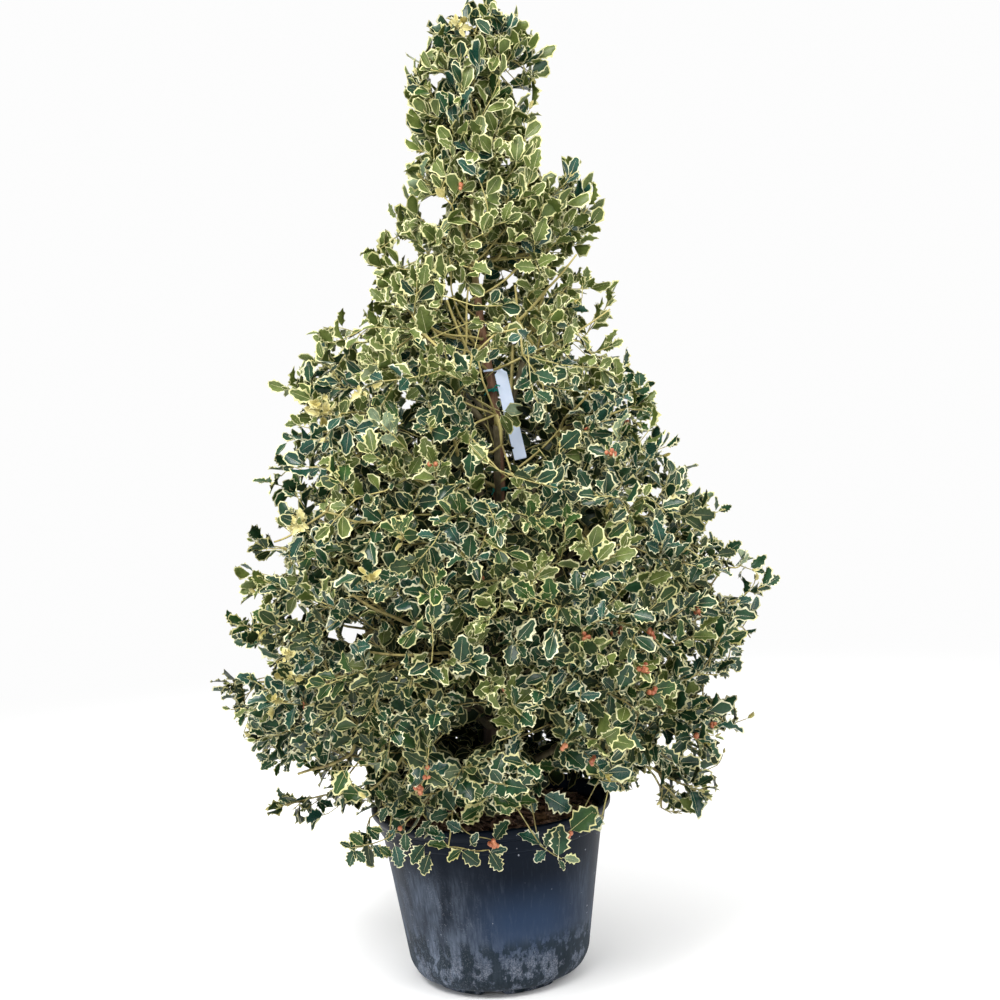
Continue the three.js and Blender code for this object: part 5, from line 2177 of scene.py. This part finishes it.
    def twig_lines(self, kids: list[list[int]], radii: Array, at: Array, widths: list[Array]) -> list[Array]:
        """Draws the twigs: at a fork the thickest one carries the line on, the others start there.

        Args:
            kids: the nodes after each node.
            radii: how thick the twig is at each node.
            at: where the nodes are.
            widths: takes up the radii of each line.

        Returns:
            The points of each line.
        """
        lines = []
        stack = [[0]]
        while stack:
            line = stack.pop()
            while kids[line[-1]]:
                order = sorted(kids[line[-1]], key=lambda kid: -radii[kid])
                stack.extend([line[-1], kid] for kid in order[1:])
                line.append(order[0])
            if len(line) > 1:
                lines.append(at[line])
                widths.append(np.maximum(radii[[line[1], *line[1:]]], self.thinnest))
        return lines

    def twig_surfaces(self, lines: list[Array], widths: list[Array]) -> dict[bool, Surface]:
        """Shapes the twigs as slim tubes, the young ones apart from the woody ones.

        Args:
            lines: the points of each twig.
            widths: its radii.

        Returns:
            The young twigs under True, the others under False.
        """
        skins = {True: Surface(), False: Surface()}
        for line, width in zip(lines, widths):
            steps = 2 if len(line) > 2 else 1
            path = smooth_path(line, steps)
            radii = np.interp(np.linspace(0, 1, len(path)), np.linspace(0, 1, len(line)), width)
            sides = 3 + sum(width[0] > limit for limit in self.side_widths)
            profile = radii[:, None, None] * circle(sides)
            skins[bool(width[0] < self.young_width)].tube(path, profile, UP + 0.13)
        return skins

    def build(self, trees: list[Tree]) -> None:
        """Makes all the pieces that stand for the masses.

        Args:
            trees: one tree for each mass.
        """
        names = [mass.name for mass in self.growth.masses]
        leaves, lines, widths = self.grow(trees)
        log.info("%d leaves on %d twigs", len(leaves.root), len(lines))
        shapes = [shape.build() for shape in self.shapes]
        for number, tint in enumerate(Tint):
            blades, margins = Surface(), Surface()
            for shape, (points, green, edge) in enumerate(shapes):
                chosen = leaves.pick((leaves.tint == number) & (leaves.shape == shape))
                chosen.spread(blades, points, green)
                chosen.spread(margins, points, edge)
            name = tint.name.lower()
            blades.piece(f"{name}_leaf_blades", tint.value[0], "foliage", names)
            margins.piece(f"{name}_leaf_margins", tint.value[1], "foliage", names)
        stem = self.growth.stem
        heights = np.arange(*self.trunk_nodes)
        boughs = [mass.bough for mass in self.growth.masses if mass.bough is not None]
        nodes = np.concatenate([stem.point(heights), *boughs, *lines])
        bough_radii = np.full(sum(map(len, boughs)), self.bough_radius)
        radii = np.concatenate([stem.radius(heights), bough_radii, *widths])
        limbs, limb_widths = self.growth.openings.limbs.join(nodes, radii)
        lines, widths = lines + limbs, widths + limb_widths
        twigs = self.twig_surfaces(lines, widths)
        twigs[True].piece("young_twigs", Bark.TWIG.value, "bark", names)
        twigs[False].piece("woody_twigs", Bark.LIMB.value, "bark", names)
        Berries().build(self.growth.crown, leaves.root, self.random)


# ------------------------------------------------------------------ pot and compost


@dataclass
class Pot:
    """The round pot: a rolled lip, a collar with a step under it, a tapering wall and a narrower foot."""

    height: float = 400.0
    lip: float = 280.0
    collar: float = 54.0
    body: float = 257.0
    heel: float = 210.0
    heel_height: float = 46.0
    foot: float = 166.0
    foot_height: float = 13.0
    wall: float = 5.0
    floor: float = 18.0
    sides: int = 144
    broad_dents: float = 0.8
    small_dents: float = 0.25
    notches: int = 6
    notch_rise: float = 8.0
    notch_reach: float = 26.0

    def surface(self) -> Surface:
        """Shapes the pot.

        A rounded profile is turned about the Z axis, with rows added along its long edges. The wall is
        then pushed in and out by broad noise of under a millimetre, and the foot's rim is raised in
        smooth steps at its drainage slots.

        Returns:
            The closed skin.
        """
        top, step = self.height, self.height - self.collar
        underside = [(0, 0, 0), (self.foot - 60, 0, 0), (self.foot - 2, 0, 3)]
        heel = [(self.foot, self.foot_height, 3), (self.heel - 14, self.heel_height - 25, 8),
                (self.heel, self.heel_height, 12)]
        wall = [(self.heel + 4.5, 76, 0), (self.heel + 16.5, 152, 0), (self.heel + 29, 232, 0)]
        collar = [(self.body, step - 3, 2), (self.body + 6, step + 1, 4), (self.body + 9.5, step + 22, 6)]
        lip = [(self.lip - 9, top - 23, 6), (self.lip, top - 15, 6), (self.lip + 0.5, top, 5),
               (self.lip - 13, top, 5), (self.lip - 15, top - 14, 4)]
        inside = [(self.body + 4 - self.wall, step + 12, 6), (self.heel - self.wall, self.heel_height, 10),
                  (self.heel - self.wall - 14, self.floor, 6), (0, self.floor, 0)]
        corners = underside + heel + wall + collar + lip + inside
        points, quads, fans = revolved(rounded_profile(corners), self.sides)
        flat = np.hypot(points[:, 0], points[:, 1])
        angle = np.arctan2(points[:, 1], points[:, 0])
        dents = self.broad_dents * lattice_noise(points * [1, 1, 0.6], 95, 21)
        dents += self.small_dents * lattice_noise(points, 24, 22)
        points[:, :2] *= (1 + dents / np.maximum(flat, 60))[:, None]
        slot = np.clip((np.cos(self.notches * angle - 0.4 * TURN) - 0.55) * 4, 0, 1)
        rise = self.notch_rise * slot * np.clip((flat - self.foot + self.notch_reach) / 5, 0, 1)
        points[:, 2] += rise * np.maximum(1 - points[:, 2] / self.foot_height, 0)
        return Surface().add(points, quads, fans)

    def build(self) -> None:
        """Makes the pot."""
        self.surface().piece("worn_pot", PotFinish(), "pot_plastic", ["pot"])


@dataclass
class Compost:
    """The compost with its loose bark, roots, bits of twig, and fallen leaves.

    Attributes:
        lumps: the lumps of its level, as height, width and seed.
        chip_least: the least half length, width and thickness of a chip. So for the most.
    """

    top: float = 366.0
    edge_drop: float = 2.0
    shoulder: float = 60.0
    radius: float = 252.0
    base: float = 330.0
    rings: int = 59
    sides: int = 110
    chips: int = 420
    chip_reach: float = 240.0
    chip_least: tuple[float, float, float] = (5.0, 2.5, 1.2)
    chip_most: tuple[float, float, float] = (17.0, 7.0, 3.2)
    chip_lift: float = 2.0
    fallen: int = 34
    fallen_reach: float = 205.0
    fallen_lift: float = 6.0
    fallen_lengths: tuple[float, float] = (38.0, 56.0)
    fallen_shape: LeafShape = LeafShape(0.5, 4, 0.24, 0.2, 0.3, 0.1, 0.07)
    roots: int = 90
    root_reach: float = 215.0
    root_points: int = 9
    root_lengths: tuple[float, float] = (40.0, 130.0)
    root_radii: tuple[float, float] = (0.9, 2.4)
    root_rise: float = 7.0
    root_lift: float = 1.5
    lumps: Rows = ((3.2, 34, 31), (2.0, 11, 32))
    seed: int = 57

    def height_at(self, points: Array) -> Array:
        """Gives the compost's level: a gentle fall to the edge, with lumps on two scales.

        Args:
            points: places, of shape (n, 3), whose heights don't count.

        Returns:
            The height over each place.
        """
        flat = np.hypot(points[:, 0], points[:, 1])
        level = np.interp(flat, [self.shoulder, self.radius], [self.top, self.top - self.edge_drop])
        places = np.stack([points[:, 0], points[:, 1], 0 * flat], axis=-1)
        lumps = [size * lattice_noise(places, width, seed) for size, width, seed in self.lumps]
        return level + lumps[0] + lumps[1]

    def scattered(self, random: np.random.Generator, count: int, reach: float, lift: float) -> Array:
        """Scatters places evenly over the compost.

        Args:
            random: the random numbers.
            count: how many places.
            reach: how far they lie from the middle at most.
            lift: how far they are over the compost's level.

        Returns:
            The places.
        """
        angle, share = random.uniform(0, TURN, count), np.sqrt(random.random(count))
        spots = level_ways(angle) * (share * reach)[:, None]
        spots[:, 2] = self.height_at(spots) + lift
        return spots

    def surface(self) -> Surface:
        """Shapes the compost: a flat base, and rings from the edge to the middle at the level above."""
        radii = np.linspace(self.radius, 0, self.rings + 1)
        upper = np.column_stack([radii, np.full(self.rings + 1, self.top)])
        profile = np.vstack([[0, self.base], [self.radius, self.base], upper])
        points, quads, fans = revolved(profile, self.sides)
        upper = points[:, 2] > self.base + 1
        points[upper, 2] = self.height_at(points[upper])
        return Surface().add(points, quads, fans)

    def chip_surface(self, random: np.random.Generator) -> Surface:
        """Scatters bark chips: boxes drawn out along one axis, with corners pushed about.

        Args:
            random: the random numbers.

        Returns:
            The chips.
        """
        corners = np.array([[x, y, z] for x in (-1, 1) for y in (-1, 1) for z in (-1, 1)], dtype=float)
        faces = np.array([[0, 1, 3, 2], [4, 6, 7, 5], [0, 4, 5, 1], [2, 3, 7, 6], [0, 2, 6, 4], [1, 5, 7, 3]])
        count = self.chips
        spots = self.scattered(random, count, self.chip_reach, self.chip_lift)
        sizes = random.uniform(self.chip_least, self.chip_most, (count, 3))
        ways = unit(random.normal(size=(count, 3)) * [1, 1, 0.22])
        tops = square_to(ways, UP + random.normal(0, 0.35, (count, 3)))
        basis = np.stack([ways, np.cross(tops, ways), tops], axis=1)
        shaped = corners * sizes[:, None] * random.uniform(0.6, 1.1, (count, 8, 3))
        placed = spots[:, None] + shaped @ basis
        return Surface().add(placed, (faces + (np.arange(count) * 8)[:, None, None]).reshape(-1, 4))

    def root_surface(self, random: np.random.Generator) -> Surface:
        """Lays roots and bits of twig on the compost: arcs that rise a little between their ends.

        Args:
            random: the random numbers.

        Returns:
            The roots and twigs.
        """
        skin = Surface()
        t = np.linspace(-0.5, 0.5, self.root_points)[:, None]
        for _ in range(self.roots):
            angle, way = random.uniform(0, TURN, 2)
            middle = self.root_reach * math.sqrt(random.random()) * level_ways(angle)
            along = level_ways(way)
            side = np.cross(UP, along)
            length = random.uniform(*self.root_lengths)
            line = middle + length * (t * along + random.normal(0, 0.5) * t**2 * side)
            line *= np.minimum(1, self.chip_reach / np.maximum(np.linalg.norm(line, axis=1), 1))[:, None]
            line[:, 2] = self.height_at(line) + self.root_lift
            line += UP * random.uniform(0, self.root_rise) * (1 - 4 * t**2)
            radii = random.uniform(*self.root_radii) * (1.1 - t)
            skin.tube(line, radii[..., None] * circle(5), UP + 0.1)
        return skin

    def leaf_surface(self, random: np.random.Generator) -> Surface:
        """Scatters fallen leaves, which lie nearly level.

        Args:
            random: the random numbers.

        Returns:
            The leaves.
        """
        roots = self.scattered(random, self.fallen, self.fallen_reach, self.fallen_lift)
        ways = unit(random.normal(size=(self.fallen, 3)) * [1, 1, 0.08])
        normals = square_to(ways, UP + random.normal(0, 0.2, (self.fallen, 3)))
        lengths = random.uniform(*self.fallen_lengths, self.fallen)
        zeros = np.zeros(self.fallen, dtype=int)
        litter = Leaves(roots, ways, normals, lengths, zeros, zeros)
        points, green, edge = self.fallen_shape.build()
        skin = Surface()
        litter.spread(skin, points, green)
        litter.spread(skin, points, edge)
        return skin

    def build(self) -> None:
        """Makes the compost and what lies on it."""
        random = np.random.default_rng(self.seed)
        self.surface().piece("compost_bed", Bark.COMPOST.value, "compost", ["soil"])
        self.chip_surface(random).piece("bark_chips", Bark.CHIP.value, "compost", [], smooth=False)
        self.root_surface(random).piece("roots_and_twigs", Bark.CHIP.value, "compost", [])
        self.leaf_surface(random).piece("fallen_leaves", DRY_LEAF, "compost", [])


# ------------------------------------------------------------------ label and ties


@dataclass
class Label:
    """A blank plastic strip with a narrow neck, whose strap is looped round the trunk."""

    stem: Stem
    top: float = 1405.0
    aside: float = 26.0
    length: float = 216.0
    width: float = 29.0
    shoulder: float = 11.0
    neck: float = 10.0
    thickness: float = 1.2
    swing: float = 0.17
    tie_thickness: float = 2.0
    gap: float = 0.3
    loop_height: float = 5.0
    loop_thickness: float = 0.6
    loop_gap: float = 1.4
    end_radius: float = 2.2
    bow: float = 3.0
    rings: int = 60
    sides: int = 16

    @property
    def front(self) -> float:
        """Gives how far the strip hangs before the trunk's axis."""
        return self.stem.radius(self.top - self.length) + self.tie_thickness + 2 * self.gap

    def strip(self) -> tuple[Array, Array, Array]:
        """Shapes the strip.

        A flat rounded section is carried down from the neck. Its width grows from the neck's to the
        strip's over the head, and the strip bows a little towards the front and rounds off at its foot.

        Returns:
            The tube's path, its profile and the direction of the profile's first axis.
        """
        down = np.linspace(0, 1, self.rings)
        drop = down * self.length
        places = [0, 5, self.shoulder, self.length - 1, self.length]
        width = np.interp(drop, places, [self.neck, self.neck + 3, self.width, self.width, self.width - 2])
        x = self.stem.point(self.top)[0] + self.aside + drop * math.sin(self.swing)
        y = -self.front - self.thickness / 2 - self.bow * np.sin(math.pi * down) ** 2
        path = np.stack([x, y, self.top - drop * math.cos(self.swing)], axis=-1)
        ring = circle(self.sides)
        section = np.sign(ring) * np.abs(ring) ** [0.35, 0.6]
        halves = np.column_stack([width / 2, np.full(self.rings, self.thickness / 2)])
        profile = section * halves[:, None]
        return path, profile, np.array([1.0, 0, self.swing])

    def strap(self) -> tuple[Array, Array, Array]:
        """Shapes the strap, a thin band drawn tight round the trunk and the label's neck, likewise."""
        radius = self.stem.radius(self.top) + self.gap + self.loop_gap
        core = self.stem.point(self.top - self.loop_height / 2)
        reach = np.array([self.aside, -self.front, 0])
        angle = math.atan2(reach[1], reach[0])
        half = math.acos((radius - self.end_radius) / math.hypot(reach[0], reach[1]))
        far = np.linspace(angle + half, angle - half + TURN, 26)
        near = np.linspace(angle - half, angle + half, 9)
        path = np.concatenate([radius * level_ways(far), reach + self.end_radius * level_ways(near)]) + core
        path = np.concatenate([path, path[:1]])
        profile = circle(8) * [self.loop_thickness, self.loop_height / 2]
        return path, profile, square_to(unit(path[1] - path[0]), core - path[0])

    def build(self) -> None:
        """Makes the label."""
        skin = Surface()
        skin.tube(*self.strip())
        skin.tube(*self.strap())
        skin.piece("blank_label", LABEL_PLASTIC, "label_plastic", ["label"])


@dataclass
class Ties:
    """Green ties round the trunk, each with a knot and two tails."""

    stem: Stem
    heights: tuple[tuple[str, float], ...] = (("upper_tie", 1356.0), ("lower_tie", 1124.0))
    cord: float = 1.7
    slack: float = 0.4
    turns: int = 3
    turn_steps: int = 30
    spread: float = 5.4
    sides: int = 7
    knot: tuple[float, float, float] = (3.2, 1.5, 3.4)
    knot_turns: float = 1.4
    knot_steps: int = 22
    knot_aside: float = 2.0
    tail_points: int = 14
    tail_bow: float = 6.0
    tail_share: float = 0.9

    def surface(self, height: float, seed: int) -> Surface:
        """Shapes a tie: three turns round the trunk, a small knot at the front, and two curved tails.

        Args:
            height: where it is on the trunk.
            seed: starts its random numbers.

        Returns:
            The tie.
        """
        random = np.random.default_rng(seed)
        core = self.stem.point(height)
        radius = self.stem.radius(height) + self.cord + self.slack
        cord = self.cord * circle(self.sides)
        skin = Surface()
        share = np.linspace(0, 1, self.turn_steps * self.turns)
        around = level_ways(self.turns * TURN * share)
        spiral = core + radius * around + self.spread * (share - 0.5)[:, None] * UP
        skin.tube(spiral, cord, UP)
        knot = core + np.array([self.knot_aside, -radius - self.knot[1], 0])
        angle = np.linspace(0, TURN * self.knot_turns, self.knot_steps)
        loop = np.stack([np.cos(angle), np.sin(2 * angle), np.sin(angle)], axis=-1)
        skin.tube(knot + self.knot * loop, cord, UP)
        for side in (-1, 1):
            t = np.linspace(0, 1, self.tail_points)[:, None]
            reach = np.array([side * random.uniform(16, 26), -random.uniform(2, 8), random.uniform(-14, 10)])
            tail = knot + t * reach + self.tail_bow * UP * np.sin(math.pi * t)
            skin.tube(tail, self.tail_share * cord, UP)
        return skin

    def build(self) -> None:
        """Makes the ties."""
        for number, (name, height) in enumerate(self.heights):
            self.surface(height, number).piece(f"{name}_strip", TIE_PLASTIC, "tie_plastic", [name])


# ------------------------------------------------------------------ stage


@dataclass(frozen=True)
class Stage:
    """Floor, soft lights and the camera."""

    eye: tuple[float, float, float] = (0.0638, -3.004, 1.159)
    pitch: float = 0.0198
    roll: float = 0.0602
    lens: float = 46.2
    sensor: float = 36.0
    sky: Colour = (0.98, 0.98, 0.98)
    floor_paint: Colour = (0.93, 0.93, 0.93)
    floor_radius: float = 30.0
    floor_sides: int = 96
    floor_drop: float = 0.0005
    lit_at: tuple[float, float, float] = (0.0, 0.0, 1.1)
    lamps: tuple[tuple[str, tuple[float, float, float], float, float], ...] = (
        ("key", (-1.3, -3.0, 4.4), 2.2, 285.0),
        ("fill", (3.0, -2.4, 2.6), 3.0, 70.0),
        ("back", (0.6, 3.4, 3.6), 2.4, 40.0),
    )

    def build(self) -> None:
        """Sets the stage."""
        bpy.context.scene.view_settings.view_transform = "Standard"
        self.floor()
        self.lights()
        self.camera()

    def floor(self) -> None:
        """Lays a wide pale disc that is as bright as the sky where it is far off."""
        ring = level_ways(np.arange(self.floor_sides) * TURN / self.floor_sides) * self.floor_radius
        ring[:, 2] = -self.floor_drop
        mesh = bpy.data.meshes.new("floor")
        mesh.from_pydata(ring.tolist(), [], [list(range(self.floor_sides))])
        shader = Shader("floor_paint")
        length = shader.node("ShaderNodeVectorMath", {"operation": "LENGTH"}, {0: shader.places()})
        far = length.out("Value").step(1.6, 5.5)
        paint = shader.blend(far, self.floor_paint, (0, 0, 0))
        glow = shader.blend(far, (0, 0, 0), self.sky)
        light = {"Emission_Color": glow, "Emission_Strength": 1.0}
        mesh.materials.append(shader.dress(Base_Color=paint, Roughness=0.9, Specular_IOR_Level=0.0, **light))
        floor = bpy.data.objects.new("floor", mesh)
        bpy.context.scene.collection.objects.link(floor)

    def lights(self) -> None:
        """Hangs a broad light to the front left, weaker ones to the right and behind, and a white sky."""
        world = bpy.data.worlds.new("white_room")
        world.use_nodes = True
        world.node_tree.nodes["Background"].inputs["Color"].default_value = (*self.sky, 1)
        world.node_tree.nodes["Background"].inputs["Strength"].default_value = 1.0
        bpy.context.scene.world = world
        for name, place, size, power in self.lamps:
            lamp = bpy.data.lights.new(name, "AREA")
            lamp.energy, lamp.size = power, size
            light = bpy.data.objects.new(name, lamp)
            light.location = place
            aim = Vector(self.lit_at) - Vector(place)
            light.rotation_euler = aim.to_track_quat("-Z", "Y").to_euler()
            bpy.context.scene.collection.objects.link(light)

    def camera(self) -> None:
        """Stands the camera in front of the plant, looking a little down and leaning a little over."""
        up = Vector((0, math.sin(self.pitch), math.cos(self.pitch)))
        right = Vector((1, 0, 0))
        ahead = up.cross(right)
        cosine, sine = math.cos(self.roll), math.sin(self.roll)
        side, top = right * cosine - up * sine, right * sine + up * cosine
        lens = bpy.data.cameras.new("camera")
        lens.lens, lens.sensor_width = self.lens, self.sensor
        lens.clip_end = 100
        camera = bpy.data.objects.new("camera", lens)
        camera.matrix_world = Matrix.Translation(self.eye) @ Matrix((side, top, -ahead)).transposed().to_4x4()
        bpy.context.scene.collection.objects.link(camera)
        bpy.context.scene.camera = camera


def main() -> None:
    """Builds the dressed plant and its stage."""
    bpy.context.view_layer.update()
    stem = Stem()
    plan = Plan(Crown(), stem)
    masses = plan.masses()
    Pot().build()
    Compost().build()
    stem.surface().piece("trunk_bark", Bark.TRUNK.value, "bark", ["trunk"])
    boughs = [mass.bough_name for mass in masses if mass.bough is not None]
    plan.boughs(masses).piece("bough_bark", Bark.BOUGH.value, "bark", boughs)
    Label(stem).build()
    Ties(stem).build()
    growth = Growth(plan.crown, stem, masses, Stray())
    Foliage(growth).build(growth.trees())
    Stage().build()


if __name__ == "__main__":
    main()
